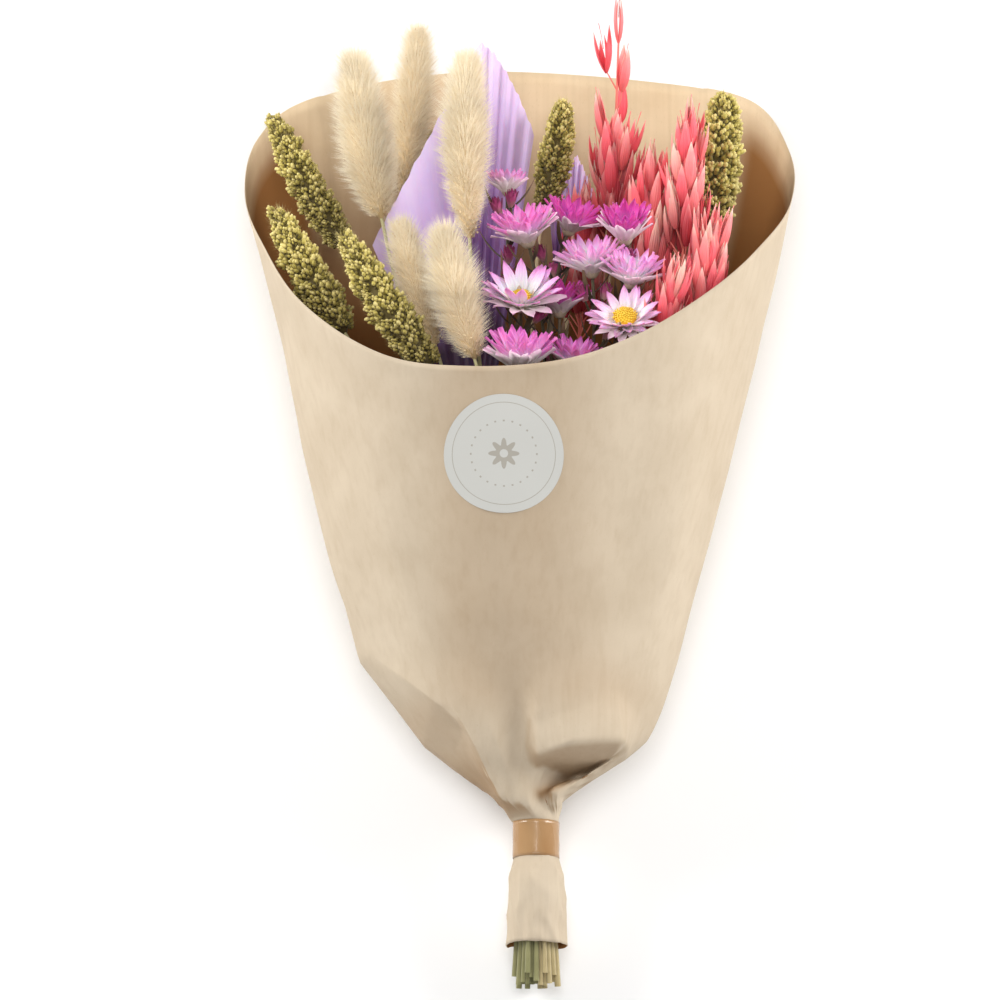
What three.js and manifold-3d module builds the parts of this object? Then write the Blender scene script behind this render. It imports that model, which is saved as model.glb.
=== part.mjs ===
// A bouquet of dried and dyed flowers in a rolled sheet of kraft paper, lying on its back.
// Millimetres, +Z up. The stems point along -Y, the flower heads along +Y, and +X is to the right
// when the open front of the paper is looked down on. The origin is under the middle of the bouquet.
import * as THREE from "three";
import { mergeVertices } from "three/addons/utils/BufferGeometryUtils.js";
import Module from "manifold-3d";

const wasm = await Module();
wasm.setup();

// Driving dimensions.
const PAPER = 1.1; // thickness of the modelled sheet, thicker than real paper
const FIT = 0.35; // gap between pieces that touch on the real bouquet
const TIE_AT = { x: 6.8, y: -122, z: 31.7 }; // middle of the bunch where the elastic holds it
const BUNCH_SLOPE = 0.2; // how much the tied stems rise towards the flowers, per millimetre
const STEM_RADIUS = 0.95;
const FLOWER_STEM_RADIUS = 0.855;
const SEAT_PITCH = 2.45; // spacing of the stems where they are tied
const SEAT_ROWS = [3, 4, 5, 6, 5, 4, 3]; // stems in each layer of the tied bunch, lowest first
const FAN_FROM_Y = -117; // above this the stems spread towards their heads
const TAPE = { fromY: -164, toY: -149, radius: 9.65, thick: 0.7 };
const CUT_Y = -215; // mean place of the cut ends
const CUT_UNEVEN = 2.4; // how far a cut end lies above or below it
const CUT_SPLAY = 1.5; // how far the stems spread below the tape
const TIE = { width: 5, thick: 1.2, radiusInSeats: 2.78 };
const LABEL = { x: -7, y: -7, radius: 25, thick: 0.6, slope: 0.93, lift: 0.65, facing: [0, -0.35, 0.94] };
// An oat husk, how far along its stalk it hangs, and how much closer they stand low on the sprig.
const SPIKELET = { length: 23, neck: 9, crowding: 1.5 };
const FAN = { pleats: 18, depth: 1.6, sag: 5, stalk: 1.5 }; // of a palm spear
const CUP = { height: 0.36, radius: 0.3, foot: 0.45, lip: 0.02 }; // of an everlasting, as shares of its reach
const DISC = 0.2; // radius of most discs, as a share of the flower's reach
const BRACT = { thick: 0.95, rootOut: 0.22, rootOnDisc: 0.85 }; // roots stand out to the rim of a wide disc
const NOD = { aside: 0.02, up: 0.015 }; // how far the middle of a spike bows, as shares of its length

// Small helpers.
const v3 = (p) => new THREE.Vector3(...p);
const lerp = THREE.MathUtils.lerp;
const rad = THREE.MathUtils.degToRad;
const GOLDEN_ANGLE = Math.PI * (3 - Math.sqrt(5));

/** A repeatable source of numbers from 0 to 1. */
function seeded(seed) {
  let state = seed * 7919 + 17;
  return () => {
    state = (state * 48271) % 2147483647;
    return state / 2147483647;
  };
}

/** Middle of the tied bunch at a given y. */
function bunchMiddle(y) {
  return new THREE.Vector3(TIE_AT.x, y, TIE_AT.z + (y - TIE_AT.y) * BUNCH_SLOPE);
}

/** Drops all but the positions and joins the vertices that share a place. */
function welded(geometry) {
  const bare = new THREE.BufferGeometry().setAttribute("position", geometry.getAttribute("position"));
  if (geometry.index) bare.setIndex(geometry.index);
  return mergeVertices(bare, 1e-4);
}

/** A closed geometry as a solid that can be joined or cut. */
function solid(geometry) {
  const mesh = welded(geometry);
  return new wasm.Manifold(
    new wasm.Mesh({
      numProp: 3,
      vertProperties: mesh.attributes.position.array,
      triVerts: new Uint32Array(mesh.index.array),
    }),
  );
}

/** A solid's surface as a geometry. */
function surface(made) {
  const mesh = made.getMesh();
  return new THREE.BufferGeometry()
    .setAttribute("position", new THREE.BufferAttribute(new Float32Array(mesh.vertProperties), 3))
    .setIndex(new THREE.BufferAttribute(new Uint32Array(mesh.triVerts), 1));
}

/** Several overlapping closed geometries as one. */
function joined(geometries) {
  return surface(geometries.map(solid).reduce((whole, next) => whole.add(next)));
}

/** Moves every vertex of a geometry to where place(x, y, z) says. */
function reshaped(geometry, place) {
  const shape = welded(geometry);
  const at = shape.attributes.position;
  for (let i = 0; i < at.count; i++) at.setXYZ(i, ...place(at.getX(i), at.getY(i), at.getZ(i)).toArray());
  return shape;
}

/** Bends a geometry that stands on y from 0 to 1 along a line of points, with its z side towards `up`. */
function bentAlong(geometry, line, up = [0, 0, 1]) {
  const curve = line.isCurve ? line : new THREE.CatmullRomCurve3(line);
  const skyward = v3(up);
  return reshaped(geometry, (x, y, z) => {
    const t = THREE.MathUtils.clamp(y, 0, 1);
    const along = curve.getTangent(t);
    const side = new THREE.Vector3().crossVectors(along, skyward).normalize();
    const front = new THREE.Vector3().crossVectors(side, along);
    return curve.getPoint(t).addScaledVector(side, x).addScaledVector(front, z);
  });
}

/** A round stem with a ring of corners at each point of the line. */
function stalk(points, radius, tipRadius = radius, sides = 4) {
  const spans = points.length - 1;
  const rod = new THREE.CylinderGeometry(1, 1, 1, sides, spans);
  rod.translate(0, 0.5, 0);
  const curve = new THREE.CurvePath();
  for (let i = 0; i < spans; i++) curve.add(new THREE.LineCurve3(points[i], points[i + 1]));
  return reshaped(rod, (x, y, z) => {
    const i = Math.round(y * spans);
    const along = points[Math.min(i + 1, spans)].clone().sub(points[Math.max(i - 1, 0)]).normalize();
    const side = new THREE.Vector3().crossVectors(along, new THREE.Vector3(0, 0, 1)).normalize();
    const front = new THREE.Vector3().crossVectors(side, along);
    const r = lerp(radius, tipRadius, i / spans);
    return points[i].clone().addScaledVector(side, x * r).addScaledVector(front, z * r);
  });
}

// The kraft paper. Sixteen fold lines run down the sheet. They are listed round it, from the left over
// the front to the right and the back, by the points where they cross each of these rows: the free
// edge, the shoulder where the gathers start, the ridge, brow and hollow of the folded part, and the
// pinch above the neck.
const FOLD_ROWS = {
  rim: [
    [-121.5, 130, 38], [-111.5, 98, 66], [-92, 62, 93], [-58, 34, 112], [-21, 27, 118], [18, 30, 118],
    [50, 43, 113], [79, 64, 103], [101, 88, 86], [119.5, 124, 47], [120.5, 156, 23], [104, 187, 5],
    [55, 198, 0], [-26, 202, 0], [-93, 189, 2], [-117, 163, 20],
  ],
  shoulder: [
    [-68.5, -79, 30], [-65, -77, 41], [-46, -80, 60], [-28, -82, 68], [-6, -84, 71], [14, -83, 71],
    [34, -80, 67], [52, -78, 58], [62, -78, 45], [67.5, -80, 32], [60, -80, 10], [42, -80, 0],
    [20, -80, 0], [-12, -80, 0], [-42, -80, 0], [-60, -80, 12],
  ],
  ridge: [
    [-41, -114, 28], [-37, -102, 57], [-28, -106, 60], [-13, -110, 61], [0, -110, 57], [8, -111, 63],
    [25, -106, 66], [41, -98, 58], [51, -104, 44], [54, -114, 30], [46, -112, 10], [30, -108, 4],
    [14, -106, 3], [-4, -106, 3], [-24, -108, 5], [-38, -113, 12],
  ],
  brow: [
    [-29, -124, 28], [-24, -114, 53], [-20, -120, 56], [-9, -124, 55], [1, -123, 50], [8, -124, 57],
    [22, -121.5, 65], [43, -119, 57], [46, -120, 43], [45, -122, 29], [38, -121, 12], [25, -118, 8],
    [13, -116, 7], [-1, -116, 7], [-17, -118, 9], [-28, -122, 15],
  ],
  hollow: [
    [-18, -132, 28], [-17, -129, 47], [-14, -131, 49], [-5, -134, 48], [2, -132, 46], [9, -131, 43],
    [19, -131, 28], [29, -128, 28], [32, -128.5, 40], [34.5, -129, 30], [27, -131, 17], [18, -130, 13],
    [10, -129, 12], [3, -129, 12], [-8, -130, 14], [-17, -132, 18],
  ],
  pinch: [
    [-7, -143, 28], [-10, -140, 41], [-7, -142, 43], [-3, -143, 42.5], [3, -142, 44], [7.5, -140, 40.5],
    [10.5, -138.5, 38.2], [14, -138, 43.5], [17, -139, 41], [18.5, -139, 29], [15, -141, 19],
    [12, -141, 16.5], [8.5, -141, 15.5], [4.5, -141, 15.5], [0, -141, 17], [-4.5, -142, 21],
  ],
};
const FOLD_COUNT = FOLD_ROWS.rim.length;
// Below the gathered part the sheet is a crumpled sleeve: y, mean radius and depth of its pleats.
const SLEEVE = [
  { y: -149, radius: 9.2, pleat: 0 },
  { y: -164, radius: 9.2, pleat: 0 },
  { y: -172, radius: 11.4, pleat: 0.5 },
  { y: -200, radius: 12.3, pleat: 0.7 },
];
const SLEEVE_PLEATS = 7;
const ROUNDED = 0.2; // how straight the sheet runs between the fold lines at the shoulder
const CREASED = 0.9; // and in the gathered part
const ROUND_THE_PAPER = 48; // corners round the sheet
const FLAT_BELOW = 1.5; // the back of the paper is pressed flat where it would lie this low

/** A point between the fold lines, on the named row: smooth if crisp is 0, straight between folds if 1. */
function onFoldRow(row, turn, crisp) {
  const at = (turn * FOLD_COUNT) % FOLD_COUNT;
  const i = Math.floor(at);
  const part = at - i;
  const fold = (k) => v3(FOLD_ROWS[row][(k + FOLD_COUNT) % FOLD_COUNT]);
  const [a, b, c, d] = [fold(i - 1), fold(i), fold(i + 1), fold(i + 2)];
  const smooth = new THREE.Vector3();
  for (const axis of ["x", "y", "z"]) {
    const [p, q, r, s] = [a[axis], b[axis], c[axis], d[axis]];
    smooth[axis] =
      q + (part / 2) * (r - p + part * (2 * p - 5 * q + 4 * r - s + part * (3 * (q - r) + s - p)));
  }
  return smooth.lerp(b.clone().lerp(c, part), crisp);
}

/** A point of the round sleeve below the neck. The turn starts on the left and goes over the front. */
function onSleeve(level, turn) {
  const angle = Math.PI - turn * 2 * Math.PI;
  const r = level.radius + level.pleat * Math.cos(SLEEVE_PLEATS * angle);
  const middle = bunchMiddle(level.y);
  return middle.add(new THREE.Vector3(r * Math.cos(angle), 0, r * Math.sin(angle)));
}

const PAPER_ROWS = [
  (turn) => onFoldRow("rim", turn, 0),
  (turn) => onFoldRow("rim", turn, 0).lerp(onFoldRow("shoulder", turn, ROUNDED), 0.5),
  (turn) => onFoldRow("shoulder", turn, ROUNDED),
  (turn) => onFoldRow("ridge", turn, CREASED),
  (turn) => onFoldRow("brow", turn, CREASED),
  (turn) => onFoldRow("hollow", turn, CREASED),
  (turn) => onFoldRow("pinch", turn, CREASED),
  ...SLEEVE.map((level) => (turn) => onSleeve(level, turn)),
];

/** The sheet's outer face: turn is 0 to 1 round it, down is 0 at the free edge and 1 at the tail. */
function onPaper(turn, down) {
  const row = THREE.MathUtils.clamp(down, 0, 1) * (PAPER_ROWS.length - 1);
  const i = Math.min(Math.floor(row), PAPER_ROWS.length - 2);
  const point = PAPER_ROWS[i](turn).lerp(PAPER_ROWS[i + 1](turn), row - i);
  if (point.z < FLAT_BELOW) point.z = 0;
  return point;
}

/** The way to the inside of the rolled sheet, square to its face. */
function inwardFrom(turn, down) {
  const [aside, ahead] = [0.5 / ROUND_THE_PAPER, 0.3 / (PAPER_ROWS.length - 1)];
  const round = onPaper((turn + aside) % 1, down).sub(onPaper((turn - aside + 1) % 1, down));
  const along = onPaper(turn, down + ahead).sub(onPaper(turn, down - ahead));
  return new THREE.Vector3().crossVectors(round, along).normalize();
}

/** Turns the diagonals of the inner face, so that both faces of the sheet are split alike. */
function splitAlike(corners, profileCount, spans) {
  for (let k = 0; k < corners.length; k += 6) {
    const [a, b, d, c] = corners.slice(k, k + 4);
    if (a % profileCount < spans) corners.set([a, b, c, c, d, a], k);
  }
}

/** The rolled sheet, from the wide open mouth through the gathered neck to the tail below the tape. */
function kraftWrap() {
  const spans = PAPER_ROWS.length - 1;
  const profile = [];
  for (let i = 0; i <= spans; i++) profile.push(new THREE.Vector2(1, i / spans));
  for (let i = spans; i >= 0; i--) profile.push(new THREE.Vector2(2, i / spans));
  profile.push(profile[0].clone());
  const ring = new THREE.LatheGeometry(profile, ROUND_THE_PAPER);
  splitAlike(ring.index.array, profile.length, spans);
  return reshaped(ring, (x, y, z) => {
    const turn = (Math.atan2(x, z) / (2 * Math.PI) + 1) % 1;
    const outer = onPaper(turn, y);
    return Math.hypot(x, z) > 1.5 ? outer : outer.addScaledVector(inwardFrom(turn, y), PAPER);
  });
}

/** Height and lean of the paper's front at a place, found by walking round and down the sheet. */
function frontOfPaper(x, y) {
  const spans = PAPER_ROWS.length - 1;
  let turn = 4.5 / FOLD_COUNT;
  let down = 1.5 / spans;
  for (let pass = 0; pass < 30; pass++) {
    const here = onPaper(turn, down);
    turn += (x - here.x) * 0.0012;
    down -= (y - here.y) * 0.0012;
  }
  return onPaper(turn, down);
}

/** A round paper label that follows the front of the wrap. */
function roundLabel() {
  const disc = new THREE.CylinderGeometry(LABEL.radius, LABEL.radius, LABEL.thick, 28, 1);
  return reshaped(disc, (x, h, z) => {
    const seat = frontOfPaper(LABEL.x + x, LABEL.y - z * LABEL.slope);
    return seat.addScaledVector(v3(LABEL.facing), LABEL.lift + LABEL.thick / 2 + h);
  });
}

/** A round band about the bunch between two places along it. */
function band(fromY, toY, inner, thick, sides) {
  const profile = [
    [inner, fromY],
    [inner + thick, fromY],
    [inner + thick, toY],
    [inner, toY],
    [inner, fromY],
  ].map((p) => new THREE.Vector2(...p));
  const ring = new THREE.LatheGeometry(profile, sides);
  return reshaped(ring, (x, y, z) => bunchMiddle(y).add(new THREE.Vector3(x, 0, z)));
}

// The plants. Each stands on a stem that runs from its cut end, through the tape and the tie, to `base`.
const FOXTAILS = [
  { base: [-77, 104, 46.5], tip: [-109.5, 166.5, 36], radius: 7 },
  { base: [-75, 55, 74], tip: [-106, 113, 66], radius: 8.2 },
  { base: [-38, 33, 94], tip: [-75, 93, 90], radius: 8.2 },
  { base: [11, 125, 34], tip: [19.5, 175, 33], radius: 7 },
  { base: [79, 103, 50], tip: [90.5, 172, 50], radius: 10.5 },
  { base: [-30, 118, 12], tip: [-38, 168, 11], radius: 5.5 },
];
const BUNNY_TAILS = [
  { base: [-60, 112, 58], tip: [-73, 190, 52], radius: 13.5, fullAt: 0.75 },
  { base: [-53, 137, 15], tip: [-45.5, 217.5, 18], radius: 10, fullAt: 0.9 },
  { base: [-21.5, 95, 78], tip: [-22.5, 184, 68], radius: 12, fullAt: 1 },
  { base: [-19, 36, 97], tip: [-33, 95, 93], radius: 12, fullAt: 0.85 },
  { base: [-36, 50, 70], tip: [-52, 109, 64], radius: 10, fullAt: 0.9 },
];
const OAT_SPRIGS = [
  { base: [40, 96, 48], tip: [44.5, 217.5, 58], spread: 7, spikelets: 12 },
  { base: [26, 62, 39.5], tip: [29, 140, 37], spread: 6, spikelets: 9 },
  { base: [55, 72, 61], tip: [58, 148, 59], spread: 6, spikelets: 10 },
  { base: [70, 84, 72], tip: [75, 166, 68], spread: 6, spikelets: 11 },
  { base: [76, 48, 82], tip: [84, 112, 80], spread: 6, spikelets: 9 },
  { base: [59, 34, 90], tip: [66, 82, 102], spread: 4, spikelets: 6 },
];
const PALM_SPEARS = [
  {
    base: [-20, 16, 36],
    tip: [-18, 206, 29],
    left: { reach: 46, widestAt: 0.5, bulge: 1 },
    right: { reach: 25, widestAt: 0.78, bulge: 1.6 },
  },
  {
    base: [21, 84, 19],
    tip: [25.5, 156, 18],
    left: { reach: 11, widestAt: 0.7, bulge: 1.2 },
    right: { reach: 11, widestAt: 0.7, bulge: 1.2 },
  },
];
const EVERLASTINGS = [
  { base: [-5.5, 121, 62], facing: [0, 1, 0.3], reach: 11, open: 42 },
  { base: [4, 93, 76], facing: [-0.25, 0.8, 0.5], reach: 17, open: 48 },
  { base: [20.5, 103, 62], facing: [0.25, 0.8, 0.4], reach: 15, open: 50 },
  { base: [0.3, 61, 86], facing: [0, 0.7, 0.75], reach: 18, open: 58, disc: 0.24 },
  { base: [0, 28.5, 99], facing: [0.05, 0.9, 0.4], reach: 18, open: 46 },
  { base: [45, 92, 82.5], facing: [0, 0.75, 0.6], reach: 16, open: 34 },
  { base: [31, 77, 82.5], facing: [-0.1, 0.85, 0.45], reach: 16, open: 50 },
  { base: [47, 70, 89.5], facing: [0.1, 0.8, 0.5], reach: 15, open: 50 },
  { base: [44.5, 50.5, 96], facing: [-0.05, 0.5, 0.8], reach: 14.5, open: 68, disc: 0.36 },
  { base: [17, 61.5, 75], facing: [0, 0.9, 0.35], reach: 15, open: 48 },
  { base: [22, 32, 91], facing: [0.15, 0.85, 0.45], reach: 14, open: 50 },
];
const PLANTS = [...FOXTAILS, ...BUNNY_TAILS, ...OAT_SPRIGS, ...PALM_SPEARS, ...EVERLASTINGS];

/** Gives each plant its seat in the tie: lower heads sit in lower layers, and left heads sit left. */
function seatStems(plants) {
  const lean = (plant, axis) =>
    (plant.base[axis] - (axis ? TIE_AT.z : TIE_AT.x)) / (plant.base[1] - FAN_FROM_Y);
  const upwards = [...plants].sort((a, b) => lean(a, 2) - lean(b, 2));
  SEAT_ROWS.forEach((count, layer) => {
    const row = upwards.splice(0, count).sort((a, b) => lean(a, 0) - lean(b, 0));
    row.forEach((plant, i) => {
      plant.seat = {
        x: (i - (count - 1) / 2) * SEAT_PITCH,
        z: (layer - (SEAT_ROWS.length - 1) / 2) * SEAT_PITCH * Math.sqrt(0.75),
      };
    });
  });
}
seatStems(PLANTS);

/** The way a head points, from its base. */
function headDirection(plant) {
  return (plant.tip ? v3(plant.tip).sub(v3(plant.base)) : v3(plant.facing)).normalize();
}

/** The points of a stem, from its cut end to the base of its head. */
function stemLine(plant, order) {
  const seated = (y, splay) =>
    bunchMiddle(y).add(new THREE.Vector3(plant.seat.x * splay, 0, plant.seat.z * splay));
  const cutY = CUT_Y - CUT_UNEVEN * Math.sin(order * 2.4);
  const from = seated(FAN_FROM_Y, 1);
  const to = v3(plant.base);
  const reach = from.distanceTo(to);
  const bend = new THREE.CubicBezierCurve3(
    from,
    from.clone().addScaledVector(new THREE.Vector3(0, 1, BUNCH_SLOPE).normalize(), reach * 0.25),
    to.clone().addScaledVector(headDirection(plant), -reach * 0.3),
    to,
  );
  return [seated(cutY, CUT_SPLAY), seated(TAPE.fromY, 1), ...bend.getPoints(5)];
}

/** A foxtail millet head: a spike covered in clusters of seed, which stand up from it in turn. */
function foxtailHead(plant, order) {
  const random = seeded(order + 1);
  const [sides, rows] = [10, 12];
  const knobbly = new THREE.SphereGeometry(1, sides, rows);
  const spike = reshaped(knobbly, (x, y, z) => {
    const ring = Math.round((Math.acos(THREE.MathUtils.clamp(y, -1, 1)) / Math.PI) * rows);
    const slot = Math.round((Math.atan2(x, z) / (2 * Math.PI)) * sides + sides);
    const along = 1 - ring / rows;
    const girth = Math.pow(Math.sin(Math.PI * Math.pow(along, 0.8)), 0.35) * (1.08 - 0.16 * along);
    const r = ring % rows === 0 ? 0 : plant.radius * girth * (0.8 + 0.3 * random());
    const angle = (slot / sides) * 2 * Math.PI;
    return new THREE.Vector3(Math.sin(angle) * r, along, Math.cos(angle) * r);
  });
  return bentAlong(spike, headLine(plant));
}

/** The middle line of a spike-shaped head, which nods a little towards the open side of its lean. */
function headLine(plant) {
  const [base, tip] = [v3(plant.base), v3(plant.tip)];
  const nod = new THREE.Vector3(Math.sign(tip.x - base.x) * NOD.aside, 0, NOD.up);
  return [base, base.clone().lerp(tip, 0.5).addScaledVector(nod, base.distanceTo(tip)), tip];
}

/** A hare's-tail head: a soft egg of hair, whose tufts are drawn out and forwards in turn. */
function bunnyTailHead(plant, order) {
  const random = seeded(order + 31);
  const [sides, rows] = [10, 9];
  const egg = reshaped(new THREE.SphereGeometry(1, sides, rows), (x, y, z) => {
    const ring = Math.round((Math.acos(THREE.MathUtils.clamp(y, -1, 1)) / Math.PI) * rows);
    const slot = Math.round((Math.atan2(x, z) / (2 * Math.PI)) * sides + sides);
    const along = 1 - ring / rows;
    const within = THREE.MathUtils.clamp(along, 0.001, 0.999);
    const girth = Math.pow(Math.sin(Math.PI * Math.pow(within, plant.fullAt)), 0.55);
    const tuft = random();
    const r = ring % rows === 0 ? 0 : plant.radius * girth * (0.86 + 0.2 * tuft);
    const angle = (slot / sides) * 2 * Math.PI;
    const drawn = along + (ring % rows ? 0.04 * tuft : 0);
    return new THREE.Vector3(Math.sin(angle) * r, Math.min(drawn, 0.985), Math.cos(angle) * r);
  });
  return bentAlong(egg, headLine(plant));
}

/** A pointed blade with a flat face and a keel behind it, bent along three points. */
function blade(points, width, thick, up, rows) {
  const lens = new THREE.SphereGeometry(1, 3, rows);
  lens.rotateY(-Math.PI / 2);
  return bentAlong(
    reshaped(lens, (x, y, z) => new THREE.Vector3(x * width * 0.58, (y + 1) / 2, z * thick * 0.67)),
    points,
    up,
  );
}

/** One oat spikelet: a pair of husks closed below and parted into two points, on a fine stalk. */
function spikelet(foot, neck, pointing, length, turn) {
  const outward = new THREE.Vector3(Math.cos(turn), 0, Math.sin(turn));
  const side = new THREE.Vector3().crossVectors(pointing, outward).normalize();
  const front = new THREE.Vector3().crossVectors(side, pointing).normalize();
  const husks = reshaped(new THREE.SphereGeometry(1, 4, 4), (x, y, z) => {
    const ring = Math.round((Math.acos(THREE.MathUtils.clamp(y, -1, 1)) / Math.PI) * 4);
    const apart = Math.hypot(x, z) < 0.01 ? 0 : x / Math.hypot(x, z);
    const across = Math.hypot(x, z) < 0.01 ? 0 : z / Math.hypot(x, z);
    const point = Math.abs(apart) > 0.9;
    const height = [0.6, point ? 1 : 0.62, 0.48, 0.2, -0.03][ring];
    const wide = [0, point ? 0.2 : 0.04, 0.23, 0.16, 0][ring];
    const deep = [0, 0.06, 0.14, 0.12, 0][ring];
    return neck
      .clone()
      .addScaledVector(pointing, height * length)
      .addScaledVector(side, apart * wide * length)
      .addScaledVector(front, across * deep * length);
  });
  return [stalk([foot, neck.clone().addScaledVector(pointing, 1.5)], 0.55, 0.5, 3), husks];
}

/** A dyed oat sprig: a stalk with spikelets on fine branches that turn about it. */
function oatSprig(plant, order) {
  const random = seeded(order + 61);
  const [base, tip] = [v3(plant.base), v3(plant.tip)];
  const along = headDirection(plant);
  const top = tip.clone().addScaledVector(along, -SPIKELET.length);
  const parts = [
    stalk(stemLine(plant, order), STEM_RADIUS),
    stalk([base.clone().addScaledVector(along, -2), top], 0.85, 0.6, 4),
    ...spikelet(top.clone().addScaledVector(along, -3), top, along, SPIKELET.length, 0),
  ];
  for (let i = 0; i < plant.spikelets - 1; i++) {
    const share = Math.pow(i / (plant.spikelets - 1), SPIKELET.crowding);
    const turn = i * GOLDEN_ANGLE + order;
    const out = new THREE.Vector3(Math.cos(turn), 0, Math.sin(turn));
    const foot = base.clone().lerp(top, share * 0.9);
    const spread = plant.spread * lerp(1, 0.75, share);
    const neck = foot.clone().addScaledVector(along, SPIKELET.neck).addScaledVector(out, spread);
    const pointing = along.clone().addScaledVector(out, 0.1 + 0.12 * random()).normalize();
    parts.push(...spikelet(foot, neck, pointing, SPIKELET.length * (0.85 + 0.15 * random()), turn));
  }
  return joined(parts);
}

/** A dyed palm spear: a fan of pleats cut to a spear shape, on its leaf stalk. */
function palmSpear(plant, order) {
  const [base, tip] = [v3(plant.base), v3(plant.tip)];
  const along = headDirection(plant);
  const side = new THREE.Vector3().crossVectors(along, new THREE.Vector3(0, 0, 1)).normalize();
  const reach = base.distanceTo(tip);
  const slab = new THREE.BoxGeometry(2, 1, 1, FAN.pleats, 5, 1).translate(0, 0.5, 0);
  const fan = reshaped(slab, (x, y, z) => {
    const column = Math.round(((x + 1) / 2) * FAN.pleats);
    const half = x < 0 ? plant.left : plant.right;
    const spread = Math.abs(x);
    const edgeAlong = reach * (1 - Math.pow(spread, half.bulge) * (1 - half.widestAt));
    const out = Math.sign(x) * spread * lerp(3, half.reach, Math.pow(y, 0.8));
    const deep = (column % 2 ? 1 : -1) * FAN.depth * Math.min(1, y * 2) * (1 - 0.5 * spread);
    return base
      .clone()
      .addScaledVector(along, edgeAlong * y)
      .addScaledVector(side, out)
      .add(new THREE.Vector3(0, 0, deep + z - FAN.sag * spread * spread * y));
  });
  const stemPoints = stemLine(plant, order);
  stemPoints.push(base.clone().addScaledVector(along, 14));
  return joined([fan, stalk(stemPoints, STEM_RADIUS, FAN.stalk, 6)]);
}

/** The pointed paper-like bracts of an everlasting flower, in two rings on a small cup. */
function everlastingBracts(plant, order) {
  const random = seeded(order + 91);
  const base = v3(plant.base);
  const along = headDirection(plant);
  const side = new THREE.Vector3().crossVectors(along, new THREE.Vector3(0, 0, 1)).normalize();
  const front = new THREE.Vector3().crossVectors(side, along);
  const cupHeight = plant.reach * CUP.height;
  const disc = plant.disc ?? DISC;
  const cupRadius = plant.reach * Math.max(CUP.radius, disc + CUP.lip);
  const placed = (r, h, angle) =>
    base
      .clone()
      .addScaledVector(side, r * Math.cos(angle))
      .addScaledVector(front, r * Math.sin(angle))
      .addScaledVector(along, h);
  const cup = reshaped(new THREE.CylinderGeometry(1, CUP.foot, 1, 6, 1).translate(0, 0.5, 0), (x, y, z) =>
    placed(Math.hypot(x, z) * cupRadius, y * cupHeight, Math.atan2(z, x)),
  );
  const parts = [cup];
  const out = Math.max(BRACT.rootOut, disc * BRACT.rootOnDisc);
  const rings = [
    { count: 7, open: plant.open, length: 0.95, from: 0.5, turn: 0, wide: 0.42, rows: 3 },
    { count: 5, open: plant.open * 0.6, length: 0.9, from: 0.75, turn: 0.4, wide: 0.4, rows: 2 },
  ];
  for (const ring of rings)
    for (let i = 0; i < ring.count; i++) {
      const angle = ring.turn + ((i + 0.25 * random()) / ring.count) * 2 * Math.PI;
      const length = plant.reach * ring.length * (0.92 + 0.16 * random());
      const lean = rad(ring.open);
      const outR = plant.reach * out;
      const outH = cupHeight * ring.from;
      const sunk = plant.reach * 0.12;
      const points = [
        placed(outR - sunk * Math.sin(lean), outH - sunk * Math.cos(lean), angle),
        placed(outR + length * 0.45 * Math.sin(lean), outH + length * 0.4 * Math.cos(lean), angle),
        placed(outR + length * Math.sin(lean * 0.82), outH + length * Math.cos(lean * 0.82), angle),
      ];
      parts.push(blade(points, plant.reach * ring.wide, BRACT.thick, along.toArray(), ring.rows));
    }
  return joined(parts);
}

/** The dome of tiny florets in the middle of an everlasting, resting on the cup inside the bracts. */
function everlastingDisc(plant) {
  const along = headDirection(plant);
  const side = new THREE.Vector3().crossVectors(along, new THREE.Vector3(0, 0, 1)).normalize();
  const front = new THREE.Vector3().crossVectors(side, along);
  const radius = plant.reach * (plant.disc ?? DISC);
  const seat = v3(plant.base).addScaledVector(along, plant.reach * CUP.height + FIT);
  const dome = new THREE.LatheGeometry(
    [[0, 0], [radius, 0], [radius * 0.8, radius * 0.6], [0, radius]].map((p) => new THREE.Vector2(...p)),
    7,
  );
  return reshaped(dome, (x, y, z) =>
    seat.clone().addScaledVector(side, x).addScaledVector(front, z).addScaledVector(along, y),
  );
}

/** A stem alone, which ends just below its flower. */
function everlastingStem(plant, order) {
  const line = stemLine(plant, order);
  line[line.length - 1].addScaledVector(headDirection(plant), -FIT);
  return stalk(line, FLOWER_STEM_RADIUS);
}

/** A head joined to its own stem, which runs a little way into it. */
function onItsStem(head, plant, order) {
  const line = stemLine(plant, order);
  line.push(v3(plant.base).addScaledVector(headDirection(plant), 5));
  return joined([head, stalk(line, STEM_RADIUS)]);
}

// Finishes, by the colours of the dried bouquet.
const finish = (color, roughness) => new THREE.MeshStandardMaterial({ color, roughness, metalness: 0 });
const FINISHES = {
  kraft: finish(0xd8c6a8, 0.85),
  label: finish(0xdcdcd6, 0.6),
  tape: finish(0xb98d5c, 0.35),
  elastic: finish(0xc9a26a, 0.7),
  millet: finish(0x9c8f48, 0.9),
  haresTail: finish(0xdcc8a0, 0.95),
  coralOat: finish(0xe85f66, 0.7),
  lilacPalm: finish(0xc9a6dc, 0.6),
  pinkBract: finish(0xe48ccb, 0.5),
  yellowDisc: finish(0xe6b42c, 0.8),
  strawStem: finish(0x9a945f, 0.8),
};

const bouquet = new THREE.Group();
/** Adds one piece of the bouquet. */
function addPiece(name, geometry, material) {
  const mesh = new THREE.Mesh(geometry, material);
  mesh.name = name;
  bouquet.add(mesh);
}
const orderOf = (plant) => PLANTS.indexOf(plant);

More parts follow.
